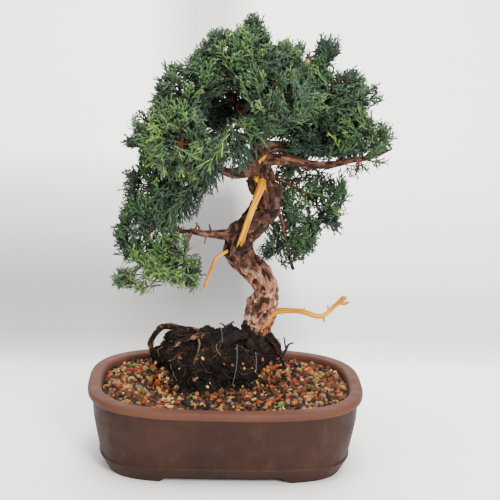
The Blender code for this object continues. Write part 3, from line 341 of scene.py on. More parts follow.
SPRAYS_BY_SHELL = ((1.0, 0.6), (1.0, 0.7, 0.4), (1.0, 0.8, 0.58, 0.34))  # where on a shell's twigs they are

# Tufts that round out the masses, or stand out of them: mass, centre, half size, twigs.
TUFTS = (
    ("foliage_apex", (14, 0, 330), (9, 9, 6), 8),
    ("foliage_top_left", (-12, -6, 317), (14, 12, 7), 12),
    ("foliage_top_left", (-20, -8, 307), (7, 12, 6), 6),
    ("foliage_left_upper", (-46, -6, 285), (10, 12, 7), 9),
    ("foliage_left_mid", (-71, -2, 245), (7, 12, 5), 7),
    ("foliage_column_upper", (-70, -4, 221), (7, 10, 5), 6),
    ("foliage_column_upper", (-74, -4, 206), (6, 10, 6), 5),
    ("foliage_column_lower", (-79, -4, 183), (6, 12, 7), 8),
    ("foliage_column_lower", (-62, -14, 191), (14, 10, 8), 12),
    ("foliage_column_lower", (-79, -6, 168), (6, 10, 6), 6),
    ("foliage_lowest_left", (-76, -16, 144), (9, 10, 5), 9),
    ("foliage_lowest_left", (-60, -16, 141), (4, 6, 5), 3),
    ("foliage_lowest_right", (-28, -18, 155), (7, 10, 8), 9),
    ("foliage_lowest_right", (-31, -18, 143), (6, 8, 5), 6),
    ("foliage_column_inner", (-32, -13, 208), (8, 10, 8), 6),
    ("foliage_column_inner", (-17, -20, 226), (8, 10, 6), 7),
    ("foliage_front_low", (4, -28, 247), (13, 10, 9), 12),
    ("foliage_front_low", (-12, -20, 241), (12, 8, 7), 12),
    ("foliage_back_top", (8, 22, 266), (14, 10, 12), 14),
    ("foliage_right_mid", (38, 24, 253), (16, 12, 9), 20),
    ("foliage_right_mid", (70, 4, 243), (18, 10, 6), 20),
    ("foliage_right_mid", (50, 6, 238), (16, 8, 4), 12),
    ("foliage_far_right", (86, -2, 243), (14, 8, 4), 12),
    ("foliage_back_left", (-17, 20, 262), (14, 9, 14), 14),
    ("foliage_hanging_upper", (46, 22, 232), (14, 9, 5), 12),
    ("foliage_hanging_upper", (38, 22, 219), (7, 10, 8), 6),
    ("foliage_hanging_low", (43, 27, 197), (5, 8, 8), 4),
    ("foliage_hanging_low", (41, 26, 162), (5, 8, 7), 6),
    ("foliage_hanging_low", (47, 25, 147), (6, 8, 5), 6),
    ("foliage_hanging_mid", (87, 32, 199), (5, 8, 7), 6),
    ("foliage_hanging_mid", (75, 32, 184), (9, 8, 8), 10),
    ("foliage_hanging_mid", (66, 31, 163), (6, 8, 6), 5),
    ("foliage_far_right", (95, -11, 229), (8, 6, 4), 12),
    ("foliage_fan", (69, -3, 314), (8, 6, 5), 8),
    ("foliage_right_upper", (82, -6, 297), (7, 10, 7), 8),
    ("foliage_right_outer", (105, 4, 284), (6, 10, 5), 8),
)

# Places where the foliage draws back, so that sky or the boughs show: centre, half size, how much.
HOLLOWS = (
    ((1, 0, 333), (6, 14, 6), 0.8),
    ((-27, -6, 323), (8, 16, 7), 0.8),
    ((76, -3, 303), (5, 12, 6), 0.7),
    ((97, 0, 273), (6, 16, 7), 0.5),
    ((-87, -4, 194), (6, 16, 8), 0.6),
    ((-14, -16, 219), (6, 16, 8), 0.5),
    ((31, 0, 327), (8, 14, 9), 0.8),
    ((56, 0, 312), (6, 14, 9), 1),
    ((79, -3, 307), (6, 14, 8), 1),
    ((-36, -8, 312), (8, 20, 8), 0.7),
    ((-60, -4, 293), (8, 20, 8), 0.8),
    ((-68, -4, 275), (8, 20, 9), 0.9),
    ((-79, -4, 258), (6, 20, 8), 0.9),
    ((-74, -4, 233), (8, 20, 6), 0.8),
    ((100, 0, 299), (8, 14, 6), 0.6),
    ((111, 0, 270), (13, 20, 8), 1.3),
    ((121, -8, 262), (7, 20, 8), 0.9),
    ((126, -10, 245), (6, 20, 10), 0.8),
    ((-47, -17, 136), (15, 20, 9), 1.5),
    ((-78, -16, 131), (14, 20, 5), 0.9),
    ((-77, -10, 155), (10, 20, 5), 0.8),
    ((-84, -4, 203), (6, 20, 10), 0.6),
    ((-16, -18, 147), (6, 20, 14), 0.8),
    ((-29, -14, 168), (8, 20, 6), 1),
    ((-14, -16, 208), (9, 20, 7), 0.9),
    ((92, 32, 186), (5, 18, 10), 0.6),
    ((76, 32, 167), (6, 18, 7), 0.8),
    ((68, 28, 206), (14, 18, 9), 0.5),
    ((52, 28, 215), (8, 18, 8), 0.4),
    ((37, 25, 151), (6, 18, 6), 0.6),
    ((64, 30, 148), (8, 18, 5), 0.8),
    ((-1, -26, 276), (9, 20, 14), 0.7),
    ((-14, -32, 262), (9, 18, 14), 0.7),
    ((68, -12, 251), (10, 14, 8), 0.4),
)

# Sprigs on the boughs themselves: bough, the stretch of it, how many, which way they lean, length.
SPRIGS = (
    ("bough_long_right", 0.62, 0.99, 34, (0.5, -0.2, -1), (7, 13)),
    ("bough_long_right", 0.40, 0.99, 44, (0.3, 0, 1), (10, 18)),
    ("bough_long_right", 0.22, 0.60, 16, (0.4, 0.3, -0.8), (8, 15)),
    ("bough_thick_right", 0.25, 1, 52, (0.3, -0.8, 0.5), (9, 17)),
    ("bough_hanging_out", 0.15, 0.9, 22, (0.5, 0, 0.3), (12, 22)),
    ("bough_hanging", 0.12, 0.98, 30, (0.4, -0.2, 0.1), (10, 18)),
    ("bough_upper_left", 0.35, 0.95, 24, (-0.3, -0.4, -1), (12, 22)),
    ("bough_left_mid", 0.2, 0.9, 14, (-0.3, -0.2, -1), (10, 18)),
    ("bough_left_up", 0.1, 0.9, 16, (-0.5, -0.2, 0.4), (10, 18)),
    ("bough_low_left", 0.2, 0.9, 14, (-0.4, -0.3, -0.4), (10, 16)),
    ("bough_top_right", 0.3, 1, 24, (0.2, -0.6, 0.8), (9, 15)),
    ("bough_top_front", 0.3, 1, 14, (0.1, -0.6, 0.6), (9, 15)),
    ("bough_up_right", 0.1, 0.9, 18, (0.4, -0.6, 0.3), (9, 15)),
)
TWIG_RADII = (0.62, 0.45, 0.34)
TWIG_TAPER = 0.7

# The cords of a spray: radius and rings of its leader, of a side cord on it and of a short one on that.
LEADER = (0.52, 5)
SIDE = (0.48, 3)
SHORT = (0.46, 2)
SIDE_CORDS = 6
SIDE_SPREAD = (30, 50)  # degrees from the leader
SHORT_SPREAD = (26, 46)  # degrees from the side cord
SHORT_LENGTH = (2.2, 0.48)  # the least, and as a share of the side cord's
CORD_BEAD = 0.10  # how much the scales swell a cord
CORD_TAPER = 0.14
SKIN = 0.025  # how far inside the crown's outline a spray's leader ends, for its side cords
SPRAY_LEAN = 0.48  # how unevenly sprays point
SPRAY_RISE = 0.25  # how much they all rise
CORD_BLUNT = 0.92  # where a cord's last full ring is, as a share of its length
RUST_SHARE = 0.012
UNDERSIDE_STEP = 9.0  # how far above and below a spray the crown is felt for, and its shade there
UNDERSIDE_SHADE = 0.5
# Places where the sprays are darker than their depth in the crown says, as painted shade, or lighter, as
# painted light:
# centre, half size, how much.
SHADES = (
    ((-17, -24, 260), (12, 26, 26), 0.55),
    ((-17, 20, 262), (18, 14, 18), 0.25),
    ((36, -6, 250), (34, 30, 10), 0.55),
    ((74, -8, 243), (26, 20, 5), 0.25),
    ((-38, -48, 256), (20, 20, 20), -0.22),
    ((-10, -8, 316), (30, 20, 14), -0.16),
    ((14, -6, 334), (16, 16, 10), -0.25),
    ((106, -10, 256), (16, 20, 14), -0.22),
    ((-52, -20, 146), (34, 20, 18), -0.38),
    ((40, -30, 285), (30, 24, 24), 0.10),
)
# Sprays this deep in the crown take the darker tints, as painted shade.
DEPTHS = (0.44, 0.64, 0.82)  # how deep in the crown the darkest sprays are, the next and the next

# Foliage colours, from painted shade for the crown's inside to painted light on its lit skin, the lightest
# standing also for the newest growth, with dead tips last.
TINTS = {
    "foliage_deep_shade": (0.022, 0.038, 0.029),
    "foliage_shade": (0.031, 0.056, 0.033),
    "foliage_mid": (0.043, 0.085, 0.036),
    "foliage_leaf": (0.072, 0.138, 0.044),
    "foliage_fresh_and_lit": (0.120, 0.210, 0.052),
    "foliage_lime": (0.225, 0.335, 0.055),
    "foliage_rust": (0.380, 0.150, 0.040),
}


# The backdrop's painted shade, for the soft shadows of the tree and pot and the dimmer bend of the sheet:
# its tones along the sheet (height plus distance back), right, left and behind the trunk.
BACKDROP_STOPS = (0.040, 0.195, 0.235, 0.295, 0.413, 0.510, 0.630, 0.770, 0.920, 1.290)
BACKDROP_REACH = 2.0
BACKDROP_PAINTED_SHADE = (
    (0.97, 1.00, 0.78, 0.60, 0.60, 0.72, 0.76, 0.81, 0.88, 1.00),
    (0.92, 0.72, 0.47, 0.35, 0.30, 0.33, 0.40, 0.52, 0.60, 1.00),
    (0.92, 0.70, 0.40, 0.24, 0.15, 0.12, 0.11, 0.12, 0.14, 0.60),
)
# Where one tone of painted shade gives way to another, across in metres: right to left, and either side of
# the trunk.
BACKDROP_SLOPES = ((0.10, -0.03), (-0.13, -0.045), (0.085, 0.015))
ACROSS = (1.0, 0.0, 0.0)

# Peat on the wood: where across its line on the trunk is level with PEAT_LINE, in millimetres, the half
# width of that edge, and where patches of it start and end across the roots, in metres.
PEAT_MIDDLE = 26.0
PEAT_EDGE = 0.009
PATCH_SLOPES = ((-0.026, -0.002), (0.029, 0.021))

# How plates of the low trunk's bark are tinged.
PLATE_TINGES = (
    (0.25, (0.42, 0.36, 0.37)), (0.42, (0.86, 0.62, 0.50)), (0.58, (1.0, 0.92, 0.86)),
    (0.75, (0.78, 0.84, 0.92)))


# ---------------------------------------------------------------- meshes


def to_frame(point):
    """A place in the frame's metres."""
    return (Vector(point) + Vector(SHIFT)) * MM


def put(name, data):
    """An object with the data, in the scene."""
    item = bpy.data.objects.new(name, data)
    bpy.context.scene.collection.objects.link(item)
    return item


def turns(count):
    """Angles spread evenly round a circle."""
    return [2 * math.pi * i / count for i in range(count)]


def turned(first, second, angle):
    """Directions at angles from a first one towards a second one."""
    return first * np.cos(angle)[..., None] + second * np.sin(angle)[..., None]


def halved(quads):
    """Quads as triangles."""
    return np.concatenate([quads[:, [0, 1, 2]], quads[:, [0, 2, 3]]])


def way_gone(points):
    """How far along a line each of its points is."""
    steps = np.linalg.norm(np.diff(points[:, :3], axis=0), axis=1)
    return np.concatenate([[0.0], np.cumsum(steps)])


def bowed(start, end, bow, count):
    """Points on a line between two places that bows out in its middle."""
    shares = [k / (count - 1) for k in range(count)]
    return [start.lerp(end, share) + bow * math.sin(math.pi * k / (count - 1))
            for k, share in enumerate(shares)]


def add_mesh(name, points, faces, materials, smooth=True, indices=None, marks=None):
    """A mesh object from arrays of points in millimetres and of triangles or quads."""
    points = (np.asarray(points, float) + SHIFT) * MM
    faces = np.asarray(faces, np.int32)
    mesh = bpy.data.meshes.new(name)
    mesh.vertices.add(len(points))
    mesh.vertices.foreach_set("co", points.ravel())
    mesh.loops.add(faces.size)
    mesh.loops.foreach_set("vertex_index", faces.ravel())
    mesh.polygons.add(len(faces))
    mesh.polygons.foreach_set("loop_start", np.arange(0, faces.size, faces.shape[1], dtype=np.int32))
    mesh.polygons.foreach_set("use_smooth", np.full(len(faces), smooth))
    for material in materials:
        mesh.materials.append(material)
    if indices is not None:
        mesh.polygons.foreach_set("material_index", np.asarray(indices, np.int32))
    for key, values in (marks or {}).items():
        kind = "FLOAT_VECTOR" if values.ndim == 2 else "FLOAT"
        layer = mesh.attributes.new(key, kind, "POINT")
        layer.data.foreach_set("vector" if values.ndim == 2 else "value", values.ravel())
    mesh.update(calc_edges=True)
    mesh.validate()
    return put(name, mesh)


def dress(piece, slot, *nodes):
    """Hangs a piece on the root, in the place of the nodes; the slot is not used."""
    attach(piece, "root")
    if nodes:
        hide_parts(*nodes)
    return piece


def join_parts(parts):
    """Several (points, faces) as one."""
    points, faces, start = [], [], 0
    for part_points, part_faces in parts:
        points.append(part_points)
        faces.append(np.asarray(part_faces) + start)
        start += len(part_points)
    return np.concatenate(points), np.concatenate(faces)


# ---------------------------------------------------------------- materials


class Paint:
    """A material under construction, with short calls for the nodes that it needs."""

    def __init__(self, name, roughness=0.8, specular=0.3):
        self.material = bpy.data.materials.new(name)
        self.material.use_nodes = True
        self.tree = self.material.node_tree
        self.shader = self.tree.nodes["Principled BSDF"]
        self.shader.inputs["Roughness"].default_value = roughness
        self.shader.inputs["Specular IOR Level"].default_value = specular

    def node(self, kind, **inputs):
        made = self.tree.nodes.new(kind)
        for key, value in inputs.items():
            self.set(made.inputs[key.replace("_", " ")], value)
        return made

    def set(self, socket, value):
        if isinstance(value, bpy.types.NodeSocket):
            self.tree.links.new(value, socket)
        elif isinstance(value, tuple) and len(value) == 3 and socket.type == "RGBA":
            socket.default_value = (*value, 1.0)
        else:
            socket.default_value = value

    def place(self):
        return self.node("ShaderNodeTexCoord").outputs["Object"]

    def mark(self, key, output="Vector"):
        made = self.tree.nodes.new("ShaderNodeAttribute")
        made.attribute_name = key
        return made.outputs[output]

    def stretch(self, vector, along):
        """A place with its third part scaled, for patterns drawn out along a limb."""
        made = self.node("ShaderNodeMapping", Vector=vector)
        made.inputs["Scale"].default_value = (1.0, 1.0, along)
        return made.outputs["Vector"]

    def noise(self, vector, scale, detail=4.0, roughness=0.55, distortion=0.0):
        made = self.node("ShaderNodeTexNoise", Vector=vector, Scale=scale, Detail=detail,
                         Roughness=roughness, Distortion=distortion)
        return made.outputs["Fac"]

    def cells(self, vector, scale, output="Distance"):
        return self.node("ShaderNodeTexVoronoi", Vector=vector, Scale=scale).outputs[output]

    def ramp(self, value, *stops):
        made = self.node("ShaderNodeValToRGB", Fac=value)
        elements = made.color_ramp.elements
        while len(elements) < len(stops):
            elements.new(0.5)
        for element, (place, colour) in zip(elements, stops):
            element.position = place
            element.color = (*colour, 1.0) if isinstance(colour, tuple) else (colour, colour, colour, 1.0)
        return made.outputs["Color"]

    def mix(self, share, first, second, blend="MIX"):
        made = self.tree.nodes.new("ShaderNodeMix")
        made.data_type = "RGBA"
        made.blend_type = blend
        self.set(made.inputs["Factor"], share)
        self.set(made.inputs[6], first)
        self.set(made.inputs[7], second)
        return made.outputs[2]

    def over(self, colour, other, pattern, *stops):
        """A colour with another laid over it, by stops on a pattern."""
        return self.mix(self.ramp(pattern, *stops), colour, other)

    def maths(self, operation, first, second):
        made = self.tree.nodes.new("ShaderNodeMath")
        made.operation = operation
        for socket, value in zip(made.inputs, (first, second)):
            self.set(socket, value)
        return made.outputs["Value"]

    def add(self, first, second):
        return self.maths("ADD", first, second)

    def times(self, first, second):
        return self.maths("MULTIPLY", first, second)

    def height(self, vector, low, high):
        return self.slope(vector, (0.0, 0.0, 1.0), low, high)

    def slope(self, vector, direction, low, high):
        """0 at one level in metres along a direction and 1 at another."""
        made = self.node("ShaderNodeVectorMath")
        made.operation = "DOT_PRODUCT"
        self.set(made.inputs[0], vector)
        made.inputs[1].default_value = direction
        spread = self.node("ShaderNodeMapRange", Value=made.outputs["Value"])
        spread.inputs["From Min"].default_value = low
        spread.inputs["From Max"].default_value = high
        return spread.outputs["Result"]

    def golden_wood(self, limb):
        """Wood golden along its grain and paler in places: its colour and its grain."""
        grain = self.noise(self.stretch(limb, 0.06), 700.0, 4.0, 0.6)
        broad = self.noise(self.stretch(limb, 0.25), 170.0, 3.0, 0.5)
        colour = self.ramp(grain, (0.30, (0.20, 0.055, 0.004)), (0.46, (0.46, 0.165, 0.007)),
                           (0.66, (0.72, 0.330, 0.014)))
        return self.over(colour, (0.88, 0.50, 0.045), broad, (0.56, 0.0), (0.76, 0.6)), grain

    def peat(self, place):
        """Near-black peat with brown flecks: its colour and its grain."""
        cloud = self.noise(place, 420.0, 7.0, 0.78)
        colour = self.ramp(cloud, (0.38, (0.004, 0.0036, 0.0036)), (0.54, (0.014, 0.0102, 0.0088)),
                           (0.72, (0.046, 0.0300, 0.0215)))
        flecks = self.cells(place, 520.0)
        return self.over(colour, (0.11, 0.068, 0.045), flecks, (0.08, 0.6), (0.18, 0.0)), cloud

    def colour(self, value):
        self.set(self.shader.inputs["Base Color"], value)

    def rough(self, value):
        self.set(self.shader.inputs["Roughness"], value)

    def bump(self, height, strength, distance):
        made = self.node("ShaderNodeBump", Height=height, Strength=strength, Distance=distance)
        self.set(self.shader.inputs["Normal"], made.outputs["Normal"])


def tones_round(colour, spread):
    """A darker and a lighter tone of a colour."""
    dark = tuple(part * (1 - spread) for part in colour)
    return dark, tuple(min(1.0, part * (1 + spread)) for part in colour)


def paint_stoneware():
    """Unglazed red-brown clay: mottled, finely speckled, lighter and pinker on the rubbed rim."""
    paint = Paint("stoneware", 0.68, 0.16)
    place = paint.place()
    cloud = paint.noise(place, 24.0, 5.0, 0.62)
    body = paint.ramp(cloud, (0.32, (0.020, 0.0080, 0.0052)), (0.52, (0.0275, 0.0110, 0.0070)),
                      (0.72, (0.036, 0.0150, 0.0098)))
    stains = paint.noise(paint.stretch(place, 0.5), 75.0, 5.0, 0.65)
    body = paint.over(body, (0.072, 0.036, 0.024), stains, (0.52, 0.0), (0.75, 0.35))
    body = paint.over(body, (0.020, 0.009, 0.006), stains, (0.28, 0.4), (0.42, 0.0))
    rim = paint.ramp(cloud, (0.3, (0.066, 0.0235, 0.0140)), (0.7, (0.096, 0.036, 0.0220)))
    colour = paint.mix(paint.height(place, 0.0530, 0.0555), body, rim)
    grains = paint.cells(place, 1500.0)
    colour = paint.over(colour, (0.15, 0.085, 0.058), grains, (0.06, 0.4), (0.14, 0.0))
    pits = paint.cells(place, 900.0)
    paint.colour(paint.over(colour, (0.02, 0.010, 0.008), pits, (0.05, 0.5), (0.12, 0.0)))
    fine = paint.noise(place, 1100.0, 3.0, 0.6)
    wavy = paint.noise(place, 90.0, 3.0, 0.5)
    paint.bump(paint.add(paint.times(fine, 0.35), wavy), 0.35, 0.0006)
    paint.rough(paint.ramp(wavy, (0.3, 0.52), (0.7, 0.72)))
    return paint.material


def paint_bark(name, low_tones, high_tones, levels, peat):
    """Flaking bark in tones from bare to flake. It is one set low on the plant and another above."""
    paint = Paint(name, 0.82, 0.12)
    place = paint.place()
    limb = paint.mark("limb")
    patches = paint.noise(paint.stretch(limb, 0.8), 420.0, 6.0, 0.7, 0.5)
    fibres = paint.noise(paint.stretch(limb, 0.16), 850.0, 4.0, 0.65)
    worn = paint.add(paint.times(paint.mark("relief", "Fac"), 0.66), paint.times(patches, 0.5))
    worn = paint.add(worn, paint.times(paint.add(fibres, -0.5), 0.35))
    low = paint.ramp(worn, *zip((0.34, 0.52, 0.68, 0.92), low_tones))
    plates = paint.cells(paint.stretch(limb, 0.7), 270.0, "Color")
    low = paint.mix(0.8, low, paint.ramp(plates, *PLATE_TINGES), "MULTIPLY")
    high = paint.ramp(worn, *zip((0.30, 0.50, 0.72, 1.00), high_tones))
    level = paint.add(paint.height(place, *levels), paint.add(paint.noise(place, 60.0, 4.0, 0.6), -0.5))
    colour = paint.over(low, high, level, (0.3, 0.0), (0.7, 1.0))
    rusty = paint.noise(paint.stretch(limb, 0.7), 190.0, 4.0, 0.6)
    colour = paint.over(colour, (0.23, 0.070, 0.032), rusty, (0.56, 0.0), (0.66, 0.6))
    colour = paint.mix(paint.mark("torn", "Fac"), colour, paint.golden_wood(limb)[0])
    covered = peat_share(paint, place, peat)
    peat_colour, crumbs = paint.peat(place)
    paint.colour(paint.mix(covered, colour, peat_colour))
    crumbs = paint.times(crumbs, paint.times(covered, 4.0))
    paint.bump(paint.add(paint.add(fibres, patches), crumbs), 0.75, 0.0008)
    return paint.material


def peat_share(paint, place, peat):
    """Where peat clings to the wood: below the peat line on the trunk, or in patches on a root."""
    if peat is None:
        return 0.0
    patchy = paint.noise(place, 260.0, 5.0, 0.7)
    if peat == "patches":
        near_trunk, far_side = [paint.slope(place, ACROSS, *ends) for ends in PATCH_SLOPES]
        cover = paint.times(paint.times(near_trunk, far_side), 0.35)
        return paint.ramp(paint.add(patchy, cover), (0.46, 0.0), (0.54, 0.95))
    line = (PEAT_LINE + PEAT_LEAN * SHIFT[0] + PEAT_LEAN * PEAT_MIDDLE) * MM
    level = paint.slope(place, (PEAT_LEAN, 0.0, 1.0), line + PEAT_EDGE, line - PEAT_EDGE)
    return paint.ramp(paint.add(level, paint.add(patchy, -0.5)), (0.46, 0.0), (0.56, 0.95))


def paint_deadwood():
    """Stripped wood: golden along its grain, paler in places."""
    paint = Paint("deadwood_grain", 0.6, 0.10)
    colour, grain = paint.golden_wood(paint.mark("limb"))
    paint.colour(colour)
    paint.bump(grain, 0.6, 0.0005)
    return paint.material


def paint_peat():
    """Near-black peat, fibrous and damp, with brown flecks."""
    paint = Paint("peat", 0.9, 0.08)
    place = paint.place()
    colour, cloud = paint.peat(place)
    paint.colour(colour)
    paint.bump(cloud, 1.0, 0.0024)
    return paint.material


def paint_grit(name, colour, spread):
    """Small stones of about one colour, with a finer mottle."""
    paint = Paint(name, 0.8, 0.15)
    place = paint.place()
    by_stone = paint.noise(place, 190.0, 2.0, 0.5)
    tone = paint.ramp(by_stone, *zip((0.3, 0.7), tones_round(colour, spread)))
    fine = paint.noise(place, 1300.0, 4.0, 0.7)
    dark = tuple(part * 0.35 for part in colour)
    paint.colour(paint.over(tone, dark, fine, (0.35, 0.35), (0.6, 0.0)))
    paint.bump(fine, 0.5, 0.0003)
    return paint.material


def paint_soil():
    """Damp crumbs under the grit."""
    paint = Paint("damp_soil", 0.9, 0.2)
    crumbs = paint.noise(paint.place(), 600.0, 5.0, 0.7)
    paint.colour(paint.ramp(crumbs, (0.35, (0.010, 0.007, 0.005)), (0.6, (0.035, 0.019, 0.012)),
                            (0.75, (0.10, 0.05, 0.026))))
    paint.bump(crumbs, 1.0, 0.0015)
    return paint.material


def paint_foliage(name, colour):
    """Live scale leaves: about one colour, with a slight waxy sheen."""
    paint = Paint(name, 0.56, 0.22)
    shade = paint.noise(paint.place(), 240.0, 2.0, 0.5)
    paint.colour(paint.ramp(shade, *zip((0.35, 0.65), tones_round(colour, 0.18))))
    return paint.material


def paint_twig():
    """Brown twigs, redder where they are young."""
    paint = Paint("twig_bark", 0.8, 0.12)
    place = paint.place()
    tone = paint.noise(place, 150.0, 3.0, 0.6)
    paint.colour(paint.ramp(tone, (0.35, (0.030, 0.016, 0.011)), (0.55, (0.070, 0.032, 0.019)),
                            (0.72, (0.190, 0.075, 0.032))))
    paint.bump(paint.noise(place, 1500.0, 3.0, 0.6), 0.4, 0.0003)
    return paint.material


def paint_wire():
    """Black wire, scuffed in places."""
    paint = Paint("black_wire", 0.4, 0.5)
    scuffs = paint.noise(paint.place(), 900.0, 3.0, 0.6)
    paint.colour(paint.ramp(scuffs, (0.5, (0.010, 0.011, 0.013)), (0.8, (0.05, 0.055, 0.062))))
    return paint.material


def paint_floor():
    """The pale sheet, greyer with painted shade where it turns up, most of all to the left and behind the
    trunk, where it stands for the tree's soft shadow.
    """
    paint = Paint("pale_floor_painted_shade", 0.7, 0.2)
    place = paint.place()
    cloud = paint.noise(place, 1.6, 3.0, 0.5)
    base = paint.ramp(cloud, (0.3, (0.915, 0.895, 0.865)), (0.7, (0.935, 0.916, 0.888)))
    along = paint.slope(place, (0.0, 1.0, 1.0), 0.0, BACKDROP_REACH)
    places = [stop / BACKDROP_REACH for stop in BACKDROP_STOPS]
    right, left, middle = [paint.ramp(along, *zip(places, tones)) for tones in BACKDROP_PAINTED_SHADE]
    to_left, rise, fall = [paint.slope(place, ACROSS, *ends) for ends in BACKDROP_SLOPES]
    # Painted shade: the tones for the right and the left, and the tree's painted shadow behind the trunk.
    shade = paint.mix(to_left, right, left)
    shade = paint.mix(paint.times(rise, fall), shade, middle)
    paint.colour(paint.mix(1.0, base, shade, "MULTIPLY"))
    return paint.material


# ---------------------------------------------------------------- camera, light and floor


def make_camera():
    """The camera, turned a little on its own axis."""
    data = bpy.data.cameras.new("camera")
    data.lens = CAMERA_LENS
    data.sensor_width = CAMERA_SENSOR
    data.clip_start, data.clip_end = CAMERA_CLIP
    level = math.cos(CAMERA_PITCH)
    forward = Vector((math.sin(CAMERA_HEADING) * level, math.cos(CAMERA_HEADING) * level,
                      -math.sin(CAMERA_PITCH)))
    camera = put("camera", data)
    camera.rotation_mode = "QUATERNION"
    camera.rotation_quaternion = forward.to_track_quat("-Z", "Y") @ Quaternion((0, 0, 1), CAMERA_ROLL)
    camera.location = to_frame(CAMERA_PLACE)
    bpy.context.scene.camera = camera


def add_light(name, place, target, size, power):
    """A round soft light that faces its target."""
    data = bpy.data.lights.new(name, "AREA")
    data.shape = "DISK"
    data.size = size
    data.energy = power
    light = put(name, data)
    light.location = place
    light.rotation_euler = (Vector(target) - Vector(place)).to_track_quat("-Z", "Y").to_euler()


def make_sweep():
    """A pale sheet that lies flat round the pot and bends up well behind it, clear of views from there."""
    flat = SHEET_EDGES[-1]
    profile = [(y, 0.0) for y in SHEET_EDGES]
    for k in range(1, SHEET_STEPS + 1):
        turn = math.pi / 2 * k / SHEET_STEPS
        profile.append((flat + SHEET_BEND * math.sin(turn), SHEET_BEND * (1 - math.cos(turn))))
    profile.append((flat + SHEET_BEND, SHEET_TOP))
    points = [(side * SHEET_HALF, y, z) for y, z in profile for side in (-1, 1)]
    faces = [(2 * k, 2 * k + 1, 2 * k + 3, 2 * k + 2) for k in range(len(profile) - 1)]
    sweep = add_mesh("sweep", points, faces, [paint_floor()])
    sweep.location.z = -0.0002  # just under the feet of the pot
    sweep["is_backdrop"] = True


def make_studio():
    """Soft lights, a pale world and the sheet."""
    for light in LIGHTS:
        add_light(*light)
    world = bpy.data.worlds.new("studio")
    world.use_nodes = True
    backdrop = world.node_tree.nodes["Background"]
    backdrop.inputs["Color"].default_value = WORLD_COLOUR
    backdrop.inputs["Strength"].default_value = WORLD_STRENGTH
    bpy.context.scene.world = world
    make_sweep()


# ---------------------------------------------------------------- pot


def pot_ring(inset, z):
    """One level of the pot, inset from the rim's outer edge."""
    half_x = POT_LENGTH / 2 - inset
    half_y = POT_DEPTH / 2 - inset
    rise = min(1.0, max(0.0, z / POT_HEIGHT))
    power = 2.0 / (BASE_SQUARENESS + (RIM_SQUARENESS - BASE_SQUARENESS) * rise)
    turn = 2 * np.pi * (np.arange(POT_POINTS) + 0.5) / POT_POINTS
    cosine, sine = np.cos(turn), np.sin(turn)
    x = half_x * np.sign(cosine) * np.abs(cosine) ** power
    y = half_y * np.sign(sine) * np.abs(sine) ** power
    return np.stack([x, y, np.full(POT_POINTS, z)], axis=1)


def tube_faces(rings, count):
    """Quads that join rings of the same number of points."""
    row = np.arange(rings - 1)[:, None] * count
    i = np.arange(count)[None]
    j = (i + 1) % count
    return np.stack([row + i, row + j, row + count + j, row + count + i], axis=-1).reshape(-1, 4)


def rounded(corners, radius, steps=5):
    """A profile of straight lines with its inner corners rounded."""
    corners = [np.array(corner, float) for corner in corners]
    profile = [corners[0]]
    for before, corner, after in zip(corners, corners[1:], corners[2:]):
        back, ahead = before - corner, after - corner
        back_length, ahead_length = np.linalg.norm(back), np.linalg.norm(ahead)
        near = min(radius, 0.45 * back_length, 0.45 * ahead_length)
        start = corner + back / back_length * near
        end = corner + ahead / ahead_length * near
        for k in range(steps + 1):
            t = k / steps
            profile.append((1 - t) ** 2 * start + 2 * t * (1 - t) * corner + t * t * end)
    profile.append(corners[-1])
    return profile


def solid_from_rings(name, rings):
    """A closed solid through rings of points, for cutting or being cut."""
    made = bmesh.new()
    rows = [[made.verts.new(to_frame(point)) for point in ring] for ring in rings]
    count = len(rows[0])
    for low, high in zip(rows, rows[1:]):
        for i in range(count):
            j = (i + 1) % count
            made.faces.new((low[i], low[j], high[j], high[i]))
    made.faces.new(list(reversed(rows[0])))
    made.faces.new(rows[-1])
    bmesh.ops.recalc_face_normals(made, faces=made.faces)
    mesh = bpy.data.meshes.new(name)
    made.to_mesh(mesh)
    made.free()
    return put(name, mesh)


def carve(item, cutter):
    """Cuts one solid out of another and removes it."""
    cut = item.modifiers.new("carve", "BOOLEAN")
    cut.operation = "DIFFERENCE"
    cut.solver = "EXACT"
    cut.object = cutter
    bpy.context.view_layer.update()
    mesh = bpy.data.meshes.new_from_object(item.evaluated_get(bpy.context.evaluated_depsgraph_get()))
    item.modifiers.clear()
    item.data = mesh
    bpy.data.objects.remove(cutter, do_unlink=True)


def foot_cutters():
    """The recess under the pot, the cut-outs between its feet and the drain holes."""
    inset = BASE_INSET + FOOT_WIDTH
    yield solid_from_rings("recess", [pot_ring(inset, z) for z in (UNDER, FOOT_HEIGHT)])
    for along_x, span in ((True, FRONT_CUTOUT), (False, SIDE_CUTOUT)):
        reach = (POT_DEPTH if along_x else POT_LENGTH) / 2
        high = span / 2
        low = high + CUTOUT_SLOPE * (1 - UNDER / FOOT_HEIGHT)
        outline = ((-low, UNDER), (low, UNDER), (high, FOOT_HEIGHT), (-high, FOOT_HEIGHT))
        rings = [[(a, end, z) if along_x else (end, a, z) for a, z in outline] for end in (-reach, reach)]
        yield solid_from_rings("cutout", rings)
    for centre in (-DRAIN_SPACING / 2, DRAIN_SPACING / 2):
        rings = [[(centre + DRAIN_RADIUS * math.cos(turn), DRAIN_RADIUS * math.sin(turn), z)
                  for turn in turns(DRAIN_SIDES)] for z in (UNDER, FLOOR_TOP - UNDER)]
        yield solid_from_rings("drain", rings)


